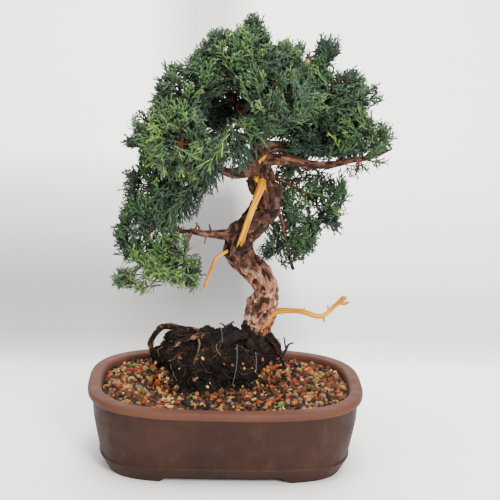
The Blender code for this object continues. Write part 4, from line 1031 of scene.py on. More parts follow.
def make_pot():
    """The pot's wall from its profile, with the feet and the drain holes cut."""
    lip_foot = POT_HEIGHT - LIP_HEIGHT
    wall_foot = RIM_WIDTH + 4.5
    outside = rounded((
        (BASE_INSET + 0.8, 0.0), (BASE_INSET, 0.8), (9.3, BAND_HEIGHT - 0.8), (10.3, BAND_HEIGHT + 0.2),
        (7.4, 26.0), (4.7, 40.0), (LIP_OVERHANG, lip_foot - 0.6), (0.5, lip_foot + 0.3),
        (0.0, lip_foot + 3.0), (0.6, POT_HEIGHT - 0.4), (3.4, POT_HEIGHT),
        (RIM_WIDTH - 1.6, POT_HEIGHT - 0.1), (RIM_WIDTH, POT_HEIGHT - 2.6),
        (wall_foot, FLOOR_TOP + 6.0), (wall_foot + 6.0, FLOOR_TOP)), 1.6)
    pot = solid_from_rings("stoneware_pot", [pot_ring(inset, z) for inset, z in outside])
    for cutter in foot_cutters():
        carve(pot, cutter)
    pot.data.materials.clear()
    pot.data.materials.append(paint_stoneware())
    pot.data.shade_smooth()
    pot.data.set_sharp_from_angle(angle=math.radians(38))
    dress(pot, "pot_finish", "pot")


# ---------------------------------------------------------------- soil, grit and mound


def mound_point(turn, rise):
    """A point of the mound at an angle round it and a share of the way up."""
    spread = math.cos(rise * math.pi / 2) ** MOUND_BLUNTNESS
    x = MOUND_HALF[0] * spread * math.cos(turn)
    y = MOUND_HALF[1] * spread * math.sin(turn)
    x, y = (x * math.cos(MOUND_TURN) - y * math.sin(MOUND_TURN),
            x * math.sin(MOUND_TURN) + y * math.cos(MOUND_TURN))
    x += MOUND_CENTRE[0]
    y += MOUND_CENTRE[1]
    foot = SOIL_TOP + 0.3
    top = MOUND_TOP_LEFT - MOUND_FALL * (x + MOUND_HALF[0])
    z = foot + (top - foot) * math.sin(rise * math.pi / 2)
    point = Vector((x, y, z))
    lump = MOUND_LUMP * noise.noise(point / MOUND_LUMP_SIZE)
    out = Vector((x - MOUND_CENTRE[0], y - MOUND_CENTRE[1], 0.0)).normalized()
    point += out * lump * (1 - 0.6 * rise)
    if rise > 0:
        point.z += lump * 0.5 * rise
    return point


def peat_relief(point):
    """Clods, crumbs and the ends of roots on the mound."""
    clods = noise.noise(point / 6.0) * 3.6
    crumbs = abs(noise.noise(point / 2.4 + Vector((40, 0, 0)))) * 3.0
    grains = noise.noise(point / 0.9) * 0.5
    return clods + crumbs + grains - 0.9


def peat_skin(turn, rise):
    """A point of the rough surface of the mound, and the way out of it."""
    point = mound_point(turn, rise)
    out = Vector((point.x - MOUND_CENTRE[0], point.y - MOUND_CENTRE[1], 25.0 * rise)).normalized()
    for place, size, push in MOUND_SWELLS:
        point = point + out * push * math.exp(-(point - Vector(place)).length_squared / size ** 2)
    return point + out * peat_relief(point), out


def make_mound():
    """The mound's skin, closed on top, with what clings to it."""
    points = []
    for k in range(MOUND_RINGS):
        rise = (k / (MOUND_RINGS - 1)) ** 0.8 * MOUND_SHUT
        points += [peat_skin(turn, rise)[0] for turn in turns(MOUND_SIDES)]
    points.append(sum(points[-MOUND_SIDES:], Vector()) / MOUND_SIDES)
    last = (MOUND_RINGS - 1) * MOUND_SIDES
    lid = [(last + i, last + (i + 1) % MOUND_SIDES, len(points) - 1) for i in range(MOUND_SIDES)]
    faces = np.concatenate([halved(tube_faces(MOUND_RINGS, MOUND_SIDES)), lid])
    dress(add_mesh("peat_mound", points, faces, [paint_peat()]), "mound_finish", "root_mound")
    make_fibres()
    make_pebbles()


def fibre_route(rng, length):
    """A fine root that wanders over the mound, in and out of its surface."""
    turn = rng.uniform(math.pi * 0.95, math.pi * 2.15) if rng.random() < 0.7 else rng.uniform(0, 2 * math.pi)
    rise = rng.uniform(0.02, 0.93) ** 1.2
    heading = rng.uniform(0, 2 * math.pi)
    route = []
    steps = 8
    for k in range(steps):
        point, out = peat_skin(turn, rise)
        route.append(point + out * (0.5 * math.sin(math.pi * k / (steps - 1)) + rng.uniform(-0.1, 0.35)))
        heading += rng.gauss(0, 0.28)
        turn += math.cos(heading) * length / steps / MOUND_HALF[0]
        rise = min(0.95, max(0.01, rise + math.sin(heading) * length / steps / MOUND_WAY_UP))
    return route


FIBRE_KINDS = (  # name, share, colour, thinnest and thickest
    ("dark", 0.72, (0.012, 0.009, 0.008), (0.15, 0.45)),
    ("brown", 0.24, (0.052, 0.027, 0.017), (0.2, 0.5)),
    ("tan", 0.04, (0.24, 0.140, 0.070), (0.15, 0.4)),
)


def lay_tubes(name, tubes, colour, spread):
    """Joins tubes into one piece of the mound."""
    dress(add_mesh(name, *join_parts(tubes), [paint_grit(name, colour, spread)]), "mound_finish")


def make_fibres():
    """The hair roots, the pale strands and the bent root on the mound."""
    rng = random.Random(SEED)
    for name, share, colour, radii in FIBRE_KINDS:
        tubes = []
        for _ in range(round(FIBRES * share)):
            radius = rng.uniform(*radii)
            tubes.append(twig_tube(fibre_route(rng, rng.uniform(8.0, 26.0)), radius, radius * 0.5, 4))
        lay_tubes("fibres_" + name, tubes, colour, 0.35)
    routes = [bowed(Vector(start), Vector(end), Vector((bow, -abs(bow), 0)), 10)
              for start, end, bow in STRANDS]
    lay_tubes("grey_strands", [twig_tube(route, 0.28, 0.2) for route in routes], (0.13, 0.135, 0.14), 0.3)
    route = [Vector(place) for place in CURVED_ROOT]
    lay_tubes("curved_root", [twig_tube(route, 0.9, 0.5, 8)], (0.20, 0.115, 0.06), 0.4)


def make_pebbles():
    """Grit that sticks to the mound, mostly near its foot, and bits of moss."""
    rng = np.random.default_rng(SEED + 1)
    places = []
    for _ in range(PEBBLES):
        point, out = peat_skin(rng.uniform(0, 2 * math.pi), rng.random() ** 2.2 * 0.8)
        places.append((point + out * 0.5)[:])
    stones, faces = make_stones(np.array(places), 0.7, 2.3, rng)
    lay_stones("pebbles_gold", stones[::2], faces, (0.55, 0.36, 0.13), 0.35, "mound_finish")
    lay_stones("pebbles_rust", stones[1::2], faces, (0.22, 0.07, 0.03), 0.35, "mound_finish")
    level = soil_levels()
    moss = []
    for x, y in MOSS:
        for _ in range(9):
            px, py = x + rng.normal(0, 1.6), y + rng.normal(0, 1.6)
            moss.append((px, py, level(px, py) + 2.2 + rng.normal(0, 0.3)))
    stones, faces = make_stones(np.array(moss), 0.5, 1.3, rng)
    lay_stones("moss_bits", stones, faces, (0.07, 0.19, 0.03), 0.4)


def stone_shapes(count, rng):
    """Angular pebbles of unit size: a sphere's points pressed back to a few flat planes."""
    made = bmesh.new()
    bmesh.ops.create_icosphere(made, subdivisions=2, radius=1.0)
    ball = np.array([vert.co[:] for vert in made.verts])
    faces = np.array([[vert.index for vert in face.verts] for face in made.faces])
    made.free()
    shapes = np.repeat(ball[None], count, axis=0)
    for _ in range(9):
        normal = rng.normal(size=(count, 1, 3))
        normal /= np.linalg.norm(normal, axis=2, keepdims=True)
        offset = rng.uniform(0.62, 0.92, (count, 1, 1))
        over = np.maximum(0.0, (shapes * normal).sum(axis=2, keepdims=True) - offset)
        shapes = shapes - normal * over
    return shapes, faces


def turn_matrices(count, rng):
    """Random turns, as matrices."""
    q = rng.normal(size=(count, 4))
    q /= np.linalg.norm(q, axis=1, keepdims=True)
    w, x, y, z = q.T
    return np.stack([
        np.stack([1 - 2 * (y * y + z * z), 2 * (x * y - z * w), 2 * (x * z + y * w)], axis=1),
        np.stack([2 * (x * y + z * w), 1 - 2 * (x * x + z * z), 2 * (y * z - x * w)], axis=1),
        np.stack([2 * (x * z - y * w), 2 * (y * z + x * w), 1 - 2 * (x * x + y * y)], axis=1),
    ], axis=1)


def on_mound(x, y, margin):
    """Whether a place is under the mound."""
    dx = x - MOUND_CENTRE[0]
    dy = y - MOUND_CENTRE[1]
    u = dx * math.cos(MOUND_TURN) + dy * math.sin(MOUND_TURN)
    v = -dx * math.sin(MOUND_TURN) + dy * math.cos(MOUND_TURN)
    return (u / (MOUND_HALF[0] + margin)) ** 2 + (v / (MOUND_HALF[1] + margin)) ** 2 < 1


def soil_levels():
    """A function that gives the level of the model's soil at a place."""
    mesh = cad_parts["soil"].data
    tree = BVHTree.FromPolygons([vert.co[:] for vert in mesh.vertices],
                                [face.vertices[:] for face in mesh.polygons])

    def level(x, y):
        hit = tree.ray_cast(to_frame((x, y, 200.0)), Vector((0, 0, -1)))[0]
        return hit.z / MM if hit else SOIL_TOP

    return level


def grit_places(rng, level):
    """A jittered grid of places inside the pot, in two layers that follow the soil."""
    half_x = POT_LENGTH / 2 - RIM_WIDTH - GRIT_MARGIN
    half_y = POT_DEPTH / 2 - RIM_WIDTH - GRIT_MARGIN
    places = []
    for layer, lift in ((0, -0.5), (1, 0.35)):
        for i in range(int(-half_x // GRIT_SPACING), int(half_x // GRIT_SPACING) + 2):
            for j in range(int(-half_y // GRIT_SPACING), int(half_y // GRIT_SPACING) + 2):
                x = (i + rng.uniform(-0.5, 0.5)) * GRIT_SPACING
                y = (j + rng.uniform(-0.5, 0.5)) * GRIT_SPACING
                if layer and rng.random() < 0.45:
                    continue
                inside = abs(x / half_x) ** RIM_SQUARENESS + abs(y / half_y) ** RIM_SQUARENESS < 1
                if inside and not on_mound(x, y, -3.0):
                    places.append((x, y, level(x, y) + lift + rng.uniform(-0.3, 0.4)))
    return np.array(places)


def bank_places(rng):
    """Places on the foot of the mound where the grit is banked up against it."""
    places = []
    for _ in range(BANK_DRAWS):
        point, out = peat_skin(rng.uniform(0, 2 * math.pi), rng.uniform(0, 0.5))
        height = sum(rise * math.exp(-((point.x - x) / width) ** 2) for x, width, rise in BANKS)
        if point.y < MOUND_CENTRE[1] and point.z < SOIL_TOP + height + rng.normal(0, 1.2):
            places.append((point + out * rng.uniform(0.4, 1.6))[:])
    return np.array(places)


GRIT = (  # name, share, share where red clay grains gather, colour, spread
    ("tan", 0.32, 0.14, (0.28, 0.138, 0.040), 0.5),
    ("cream", 0.12, 0.05, (0.42, 0.260, 0.095), 0.35),
    ("red", 0.03, 0.26, (0.27, 0.046, 0.013), 0.5),
    ("brown", 0.28, 0.38, (0.085, 0.032, 0.016), 0.6),
    ("grey", 0.07, 0.05, (0.17, 0.115, 0.080), 0.3),
    ("black", 0.17, 0.12, (0.012, 0.009, 0.007), 0.4),
)
DARK_GRIT_AND_SHADE = (5, -42, 48, 20)  # where dark grit lies in front of the mound's foot, partly darker stones and partly painted shade of the mound: its middle and half size
DARK_GRIT_AND_SHADE_KINDS = ("brown", "black")
DARK_GRIT_AND_SHADE_SHARE = 0.5  # how much more of each of them is there
GRIT_PATCH = 16.0  # how broad a patch of red grains is


def stone_kinds(places, rng):
    """Which kind each stone is. Red and brown ones lie in patches, and dark ones gather in front of the
    mound's foot, partly as painted shade.
    """
    names = [row[0] for row in GRIT]
    kinds = []
    for x, y, _ in places:
        red = min(1.0, max(0.0, 0.5 + 2.4 * noise.noise(Vector((x, y, 0.0)) / GRIT_PATCH)))
        shares = np.array([plain * (1 - red) + patch * red for _, plain, patch, _, _ in GRIT])
        # Nearness to the dark grit in front of the mound: more dark stones there, partly painted shade of
        # the mound.
        damp = math.exp(-((x - DARK_GRIT_AND_SHADE[0]) / DARK_GRIT_AND_SHADE[2]) ** 2 - ((y - DARK_GRIT_AND_SHADE[1]) / DARK_GRIT_AND_SHADE[3]) ** 2)
        for name in DARK_GRIT_AND_SHADE_KINDS:
            shares[names.index(name)] += DARK_GRIT_AND_SHADE_SHARE * damp
        kinds.append(rng.choice(len(GRIT), p=shares / shares.sum()))
    return np.array(kinds)


def lay_stones(name, stones, faces, colour, spread, slot="soil_finish"):
    """Joins stones, each the same number of points, into one piece."""
    starts = np.arange(len(stones))[:, None, None] * stones.shape[1]
    faces = (faces[None] + starts).reshape(-1, 3)
    paint = paint_grit(name, colour, spread)
    dress(add_mesh(name, stones.reshape(-1, 3), faces, [paint], smooth=False), slot)


def make_stones(places, low, high, rng):
    """Turned pebbles of uneven size and thickness at the places."""
    count = len(places)
    shapes, faces = stone_shapes(count, rng)
    sizes = low + (high - low) * rng.random((count, 1, 1)) ** 1.5
    flatness = [np.ones(count), rng.uniform(0.6, 0.95, count), rng.uniform(0.4, 0.8, count)]
    sizes = sizes * np.stack(flatness, 1)[:, None]
    stones = np.einsum("nij,npj->npi", turn_matrices(count, rng), shapes * sizes)
    return stones + places[:, None], faces


def make_grit():
    """The loose stones on the soil, kind by kind, and the look of the soil under them."""
    rng = np.random.default_rng(SEED)
    places = np.concatenate([grit_places(rng, soil_levels()), bank_places(rng)])
    stones, faces = make_stones(places, *GRIT_SIZE, rng)
    kinds = stone_kinds(places, rng)
    for kind, (name, _, _, colour, spread) in enumerate(GRIT):
        lay_stones("grit_" + name, stones[kinds == kind], faces, colour, spread)
    soil = paint_soil()
    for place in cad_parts["soil"].material_slots:
        place.material = soil


# ---------------------------------------------------------------- limbs


def smooth_route(stations, step):
    """Points at even steps on a smooth curve through the stations, each with its radius."""
    nodes = [np.array(station, float) for station in stations]
    nodes = [2 * nodes[0] - nodes[1]] + nodes + [2 * nodes[-1] - nodes[-2]]
    fine = []
    for a, b, c, d in zip(nodes, nodes[1:], nodes[2:], nodes[3:]):
        for k in range(20):
            t = k / 20
            fine.append(0.5 * (2 * b + (c - a) * t + (2 * a - 5 * b + 4 * c - d) * t * t
                               + (3 * b - a - 3 * c + d) * t ** 3))
    fine.append(nodes[-2])
    fine = np.array(fine)
    gone = way_gone(fine)
    count = max(3, round(gone[-1] / step) + 1)
    where = np.linspace(0.0, gone[-1], count)
    return np.stack([np.interp(where, gone, fine[:, k]) for k in range(fine.shape[1])], axis=1)


def ring_frames(points):
    """Two directions square to the route at each of its points, that don't twist along it."""
    points = [Vector(point) for point in points]
    tangents = []
    for i in range(len(points)):
        before = points[max(0, i - 1)]
        after = points[min(len(points) - 1, i + 1)]
        tangents.append((after - before).normalized())
    side = tangents[0].orthogonal().normalized()
    frames = []
    for tangent in tangents:
        side = (side - tangent * side.dot(tangent)).normalized()
        frames.append((side.copy(), tangent.cross(side)))
    return frames


def bark_relief(place, cell, stretch):
    """Flakes at uneven levels with fibres along the limb: 0 where bark has gone, 1 on the highest."""
    spot = Vector((place.x, place.y, place.z / stretch)) / cell
    warp = noise.noise_vector(spot * 1.3) * 0.5
    (first, second, _, _), centres = noise.voronoi(spot + warp)
    level = 0.5 + 1.1 * noise.noise(centres[0] * 3.7)
    crack = min(1.0, (second - first) / 0.14)
    fibre = noise.noise(Vector((place.x, place.y, place.z / 6.0)))
    coarse = noise.noise(Vector((place.x / 2.6, place.y / 2.6, place.z / 9.0)))
    return min(1.0, max(0.0, level * (0.75 + 0.25 * crack) + 0.3 * fibre + 0.25 * coarse))


def line_distance(point, line):
    """How far a point is from a line of several stretches."""
    nearest = 1e9
    for start, end in zip(line, line[1:]):
        start, end = Vector(start), Vector(end)
        along = end - start
        share = min(1.0, max(0.0, (point - start).dot(along) / along.length_squared))
        nearest = min(nearest, (point - start - along * share).length)
    return nearest


def torn_share(point):
    """1 on a torn strip, with a ragged edge."""
    ragged = noise.noise(Vector((point.x, point.y, point.z / 3.0)) / 1.6) * 1.3
    for width, line in TORN:
        if line_distance(point, line) < width + ragged:
            return 1.0
    return 0.0


def knob_height(point):
    """How far the trunk's knobs swell out at a point."""
    return sum(size * math.exp(-(point - Vector(spot)).length_squared / (size * 1.5) ** 2)
               for *spot, size in KNOBS)


def limb_surface(stations, sides, step, relief, lumps=0.08, lump_size=9.0, cell=4.0, stretch=2.2,
                 torn_end=0.0, knobs=False):
    """The fine surface of a limb, with where each point is on it and how far it stands out."""
    route = smooth_route(stations, step)
    gone = way_gone(route)
    offset = Vector(stations[0][:3]) * 3.1
    points, limb, heights = [], [], []
    for row, (side, other), along in zip(route, ring_frames(route[:, :3]), gone):
        middle = Vector(row[:3])
        radius = row[3]
        ending = max(0.0, 1.0 - (gone[-1] - along) / 3.0) * torn_end
        for turn in turns(sides):
            out = side * math.cos(turn) + other * math.sin(turn)
            rough = noise.noise((middle + out * radius) / lump_size)
            place = Vector((math.cos(turn) * radius, math.sin(turn) * radius, along))
            height = bark_relief(place + offset, cell, stretch)
            point = middle + out * (radius * (1 + lumps * 2.0 * rough) + (height - 0.55) * relief)
            if knobs:
                point += out * knob_height(point)
            if ending:
                splinter = noise.noise(Vector((turn * 2.2, stations[0][0], 0.0))) * 2.0
                point += side.cross(other) * ending * splinter * min(radius * 1.4, 2.6)
            points.append(point)
            limb.append((place + offset) * MM)
            heights.append(height)
    ends = []
    for first, flip in ((0, True), ((len(route) - 1) * sides, False)):
        points.append(sum(points[first:first + sides], Vector()) / sides)
        limb.append(limb[first])
        heights.append(0.9)
        for i in range(sides):
            a, b = first + i, first + (i + 1) % sides
            ends.append((b, a, len(points) - 1) if flip else (a, b, len(points) - 1))
    faces = np.concatenate([halved(tube_faces(len(route), sides)), ends])
    marks = {"limb": np.array([spot[:] for spot in limb]), "relief": np.array(heights),
             "torn": np.array([torn_share(point) for point in points])}
    return np.array([point[:] for point in points]), faces, marks


def limb_sides(stations):
    """How many faces go round a limb, by how thick it is."""
    widest = max(station[3] for station in stations[1:])
    return max(10, min(40, round(widest * 2 * math.pi / 0.75)))


def joined_surfaces(surfaces):
    """Several surfaces with marks as one."""
    points, faces = join_parts([surface[:2] for surface in surfaces])
    marks = {key: np.concatenate([surface[2][key] for surface in surfaces]) for key in surfaces[0][2]}
    return points, faces, marks


def make_trunk(material):
    """The trunk, finer than the other limbs, with its knobs."""
    points, faces, marks = limb_surface(TRUNK_FOOT + TRUNK[3:], 96, 0.7, 2.3, lumps=0.14, cell=3.1,
                                        stretch=1.3, knobs=True)
    dress(add_mesh("trunk_bark", points, faces, [material], marks=marks), "bark_finish", "trunk")


def make_limbs(table, suffix, slot, material, relief, **shape):
    """A piece for each limb of a table, with its spurs."""
    for name, stations in table.items():
        surfaces = [limb_surface(stations, limb_sides(stations), 0.9, relief, **shape)]
        for spur in SPURS.get(name, ()):
            surfaces.append(limb_surface(spur, limb_sides(spur), 0.9, relief * 0.6, **shape))
        points, faces, marks = joined_surfaces(surfaces)
        dress(add_mesh(name + suffix, points, faces, [material], marks=marks), slot, name)


# ---------------------------------------------------------------- foliage


class Space:
    """Where the foliage may grow: within the outline that its masses make, and clear of the limbs."""

    def __init__(self):
        rows = [(*mass[:2], 1.0) for mass in MASSES.values()]
        rows += [(centre, half, 1.0) for _, centre, half, _ in TUFTS]
        rows += [(centre, half, -depth) for centre, half, depth in HOLLOWS]
        self.centres = np.array([row[0] for row in rows], float)
        self.halves = np.array([row[1] for row in rows], float)
        self.weights = np.array([row[2] for row in rows], float)
        starts, ends, radii = [], [], []
        for stations in [TRUNK, *BOUGHS.values(), *DEADWOOD.values()]:
            route = smooth_route(stations, 4.0)
            starts.append(route[:-1, :3])
            ends.append(route[1:, :3])
            radii.append(np.maximum(route[:-1, 3], route[1:, 3]))
        self.starts = np.concatenate(starts)
        self.ends = np.concatenate(ends)
        self.radii = np.concatenate(radii)

    def fullness(self, points):
        """Above 1 in the middle of the crown, falling off through its skin."""
        depth = np.linalg.norm((points[:, None] - self.centres[None]) / self.halves[None], axis=2)
        return (np.exp(-MEETING * depth ** 2) * self.weights).sum(axis=1)

    def inside(self, points, reach):
        """Which points are within the outline, drawn out by a reach."""
        return self.fullness(points) >= math.exp(-MEETING * reach ** 2)

    def depth(self, points):
        """0 in the middle and 1 on the skin, as a share of the way out."""
        return np.sqrt(np.maximum(0.0, -np.log(np.maximum(1e-6, self.fullness(points))) / MEETING))

    def clear(self, points, gap):
        """Which points are more than a gap away from every limb."""
        along = self.ends - self.starts
        share = np.einsum("pij,ij->pi", points[:, None] - self.starts[None], along)
        share = np.clip(share / np.einsum("ij,ij->i", along, along), 0, 1)
        near = self.starts[None] + share[..., None] * along[None]
        return (np.linalg.norm(points[:, None] - near, axis=2) > self.radii[None] + gap).all(axis=1)


def spiral(count):
    """Directions spread evenly round a sphere."""
    for i in range(count):
        z = 1 - (2 * i + 1) / count
        across = math.sqrt(1 - z * z)
        yield Vector((across * math.cos(i * GOLDEN), across * math.sin(i * GOLDEN), z))


def limb_stations(name):
    """The stations of the trunk or of a bough."""
    return TRUNK if name == "trunk" else BOUGHS[name]


def stem_route(name):
    """From just clear of the limb's tip or side, in a bend, to the middle of the mass."""
    centre, _, limb, along, _ = MASSES[name]
    route = smooth_route(limb_stations(limb), 2.0)
    centre = Vector(centre)
    if along >= 1.0:
        tip = Vector(route[-1][:3])
        outward = (tip - Vector(route[-2][:3])).normalized()
        start = tip - outward * 0.5
        second = tip + outward * STEM_START
    else:
        row = route[round(along * (len(route) - 1))]
        axis = Vector(row[:3])
        toward = centre - axis
        after = Vector(route[min(len(route) - 1, round(along * (len(route) - 1)) + 1)][:3])
        tangent = (after - axis).normalized()
        outward = (toward - tangent * toward.dot(tangent)).normalized()
        start = axis + outward * row[3] * 0.7
        second = axis + outward * (row[3] * STEM_SEAT + STEM_START)
    middle = second.lerp(centre, 0.55) + Vector((0, 0, 1.0))
    return [start, second, middle, centre]


def bent_line(start, end, rng):
    """A twig's route between two points, slightly bowed."""
    length = (end - start).length
    bow = Vector([rng.uniform(-1, 1) for _ in range(3)]) * length * 0.12
    bow.z -= length * 0.04
    return bowed(start, end, bow, 4)


def any_way(spread, rng):
    """A direction and length drawn at random, as likely one way as another."""
    return Vector([rng.gauss(0, spread) for _ in range(3)])


def grow_twigs(name, style, rng):
    """Twigs from the stem to points on shells of the mass, each from the nearest point inside it."""
    stem = smooth_route([(*point, STEM_RADIUS) for point in stem_route(name)], 2.0)
    stem = [Vector(point) for point in stem[:, :3]]
    twigs = [(stem, STEM_RADIUS, STEM_TIP)]
    joints = stem[len(stem) // 3:]
    tips = []

    def grow(centre, half, direction, share, level):
        goal = Vector([c + d * h * share for c, d, h in zip(centre, direction, half)])
        joint = min(joints, key=lambda spot: (spot - goal).length)
        route = bent_line(joint, goal, rng)
        twigs.append((route, TWIG_RADII[level], TWIG_RADII[level] * TWIG_TAPER))
        tips.append((route, level))
        return goal

    centre, half = MASSES[name][:2]
    for level, (count, depth) in enumerate(zip(style["shells"], SHELL_DEPTHS)):
        twist = Quaternion(any_way(1, rng), rng.uniform(0, 6))
        reach = style["reach"]
        joints += [grow(centre, half, twist @ direction, depth * rng.uniform(0.86, 1.12) * reach, level)
                   for direction in spiral(count)]
    for mass, middle, size, count in TUFTS:
        if mass == name:
            for direction in spiral(count):
                grow(middle, size, direction, rng.uniform(0.35, 0.8), 2)
    return twigs, tips


def spray_starts(name, space, style, tips, rng):
    """Root, direction and length of each spray: at the tips of the twigs and beside them."""
    centre, half, _, _, lift = MASSES[name]
    pull = Vector((0, 0, SPRAY_RISE + lift * 0.5 - style["droop"] * 1.1))
    starts = []
    for route, level in tips:
        for share in SPRAYS_BY_SHELL[level]:
            spot = share * (len(route) - 1)
            low = min(int(spot), len(route) - 2)
            root = route[low].lerp(route[low + 1], spot - low)
            along = (route[low + 1] - route[low]).normalized()
            outward = Vector([(p - c) / h for p, c, h in zip(root, centre, half)])
            outward = outward.normalized() if outward.length > 0.05 else along
            keep = 0.7 if share > 0.9 else 0.1
            for _ in range(5):
                lean = any_way(SPRAY_LEAN, rng)
                axis = (outward * 0.8 + along * keep + lean + pull).normalized()
                length = rng.uniform(*style["length"]) * (1.0 if level == 2 else 0.85)
                if roomy(space, root, axis, length, (0.35, 0.7, 1.0), 0.9, style["reach"] - SKIN):
                    starts.append((root, axis, length))
                    break
    return starts


def roomy(space, root, axis, length, shares, gap, reach):
    """Whether a spray is clear of the limbs and inside the crown, at shares of its length."""
    line = np.array([(root + axis * (length * share))[:] for share in shares])
    return space.clear(line, gap).all() and space.inside(line, reach).all()


def sprig_starts(space, rng):
    """Sprays on the boughs themselves, each on a short bare twig."""
    twigs, starts = [], []
    for bough, first, last, count, pull, lengths in SPRIGS:
        route = smooth_route(BOUGHS[bough], 1.0)
        for k in range(count):
            spot = (first + (last - first) * (k + rng.random()) / count) * (len(route) - 1)
            row = route[int(spot)]
            foot = Vector(row[:3])
            ahead = Vector(route[min(len(route) - 1, int(spot) + 2)][:3]) - foot
            lean = any_way(0.5, rng)
            axis = (Vector(pull).normalized() + lean + ahead.normalized() * 0.4).normalized()
            tip = foot + axis * (row[3] + rng.uniform(1.5, 6.0)) + Vector((0, 0, rng.uniform(-0.8, 0.8)))
            length = rng.uniform(*lengths)
            if roomy(space, tip, axis, length, (0.1, 0.5, 1.0), 0.7, SPRIG_REACH):
                twigs.append((bent_line(foot, tip, rng), TWIG_RADII[1], TWIG_RADII[2]))
                starts.append((tip, axis, length))
    return twigs, starts


def unit(vectors):
    """Vectors made one long."""
    return vectors / np.maximum(1e-9, np.linalg.norm(vectors, axis=-1, keepdims=True))


def along_cord(start, along, bend, length, share):
    """Places on bent cords, at shares of their lengths."""
    return start + along * (length * share)[..., None] + bend * (length * share ** 2)[..., None]


def cord_tubes(start, along, length, bend, radius, rings):
    """Beaded three-sided cords with blunt ends: points, faces and how many faces each cord has."""
    t = np.append(np.linspace(0.0, CORD_BLUNT, rings), 1.0)
    route = along_cord(start[:, None], along[:, None], bend[:, None], length[:, None], t)
    helper = np.where(np.abs(along[:, 2:3]) > 0.8, np.array([[1.0, 0, 0]]), np.array([[0, 0, 1.0]]))
    side = unit(np.cross(along, helper))
    other = np.cross(along, side)
    swell = 1 + CORD_BEAD * np.where(np.arange(rings) % 2, 1.0, -1.0)
    radii = radius * ((1.0 - CORD_TAPER * t[:-1]) * swell)
    edges = []
    for k in range(3):
        out = turned(side[:, None], other[:, None], 2 * np.pi * k / 3 + np.pi / 3 * np.arange(rings))
        edges.append(route[:, :-1] + out * radii[:, None])
    body = np.stack(edges, axis=2).reshape(len(start), rings * 3, 3)
    points = np.concatenate([body, route[:, -1:]], axis=1)
    tip = rings * 3
    faces = []
    for j in range(0, tip - 3, 3):
        for a, b in ((0, 1), (1, 2), (2, 0)):
            faces += [(j + a, j + b, j + a + 3), (j + b, j + b + 3, j + a + 3)]
    faces += [(tip - 3 + a, tip - 3 + b, tip) for a, b in ((0, 1), (1, 2), (2, 0))]
    starts = np.arange(len(start))[:, None, None] * (tip + 1)
    return points.reshape(-1, 3), (np.array(faces)[None] + starts).reshape(-1, 3), len(faces)


def spray_cords(starts, droop, tints, rng):
    """The cords of all the sprays of one piece: a leader, side cords on it and short ones on those."""
    root = np.array([start[0][:] for start in starts])
    axis = np.array([start[1][:] for start in starts])
    length = np.array([start[2] for start in starts])
    count = len(starts)
    rust = len(TINTS) - 1
    rusty = rng.random(count) < RUST_SHARE
    across = unit(np.cross(axis, rng.normal(size=(count, 3))))
    face = np.cross(axis, across)
    bend = rng.normal(scale=0.09, size=(count, 3))
    bend[:, 2] += 0.08 - 0.5 * droop
    groups = [(root, axis, length, bend, *LEADER, tints)]
    for k in range(SIDE_CORDS):
        share = 0.12 + 0.76 * k / (SIDE_CORDS - 1) + rng.uniform(-0.04, 0.04, count)
        spot = along_cord(root, axis, bend, length, share)
        turn = np.pi * k + rng.normal(0, 0.8, count)
        spread = np.radians(rng.uniform(*SIDE_SPREAD, count))
        out = turned(across, face, turn)
        along = unit(turned(unit(axis + 2 * bend * share[:, None]), out, spread))
        side_length = length * (0.60 - 0.30 * share) * rng.uniform(0.7, 1.25, count)
        side_bend = axis * 0.12 + rng.normal(scale=0.07, size=(count, 3))
        side_bend[:, 2] -= 0.22 * droop
        # Outer side cords are more often a tint lighter and inner ones a tint darker: painted light towards
        # a spray's tip, painted shade towards its base.
        lighter, darker = (0.35, 0.9) if k > 3 else (0.1, 0.6)
        draw = rng.random(count)
        shifted = tints + (draw < lighter) - (draw > darker)
        groups.append((spot, along, side_length, side_bend, *SIDE, np.clip(shifted, 0, rust - 1)))
        base = along_cord(spot, along, side_bend, side_length, 0.38 + 0.2 * rng.random(count))
        fork = (-1) ** k * np.radians(rng.uniform(*SHORT_SPREAD, count))
        fork_side = unit(np.cross(along, face + 0.6 * rng.normal(size=(count, 3))))
        least, of_side = SHORT_LENGTH
        short_length = np.maximum(least, side_length * of_side) * rng.uniform(0.8, 1.2, count)
        # Short cords are often a tint lighter: painted light on the tips, standing also for newer growth.
        shifted = np.minimum(tints + (rng.random(count) < 0.4), rust - 1)
        groups.append((base, unit(turned(along, fork_side, fork)), short_length, np.zeros((count, 3)),
                       *SHORT, np.where(rusty, rust, shifted)))
    return groups


def twig_tube(route, wide, narrow, sides=5):
    """A twig's surface through the points of its route."""
    points = []
    for k, (middle, (side, other)) in enumerate(zip(route, ring_frames(route))):
        radius = wide + (narrow - wide) * k / (len(route) - 1)
        for turn in turns(sides):
            points.append((middle + (side * math.cos(turn) + other * math.sin(turn)) * radius)[:])
    return np.array(points), halved(tube_faces(len(route), sides))


# The tints from painted shade through mid to painted light.
DEEP_SHADE, SHADE, MID, LEAF, FRESH_AND_LIT = range(5)  # places in TINTS


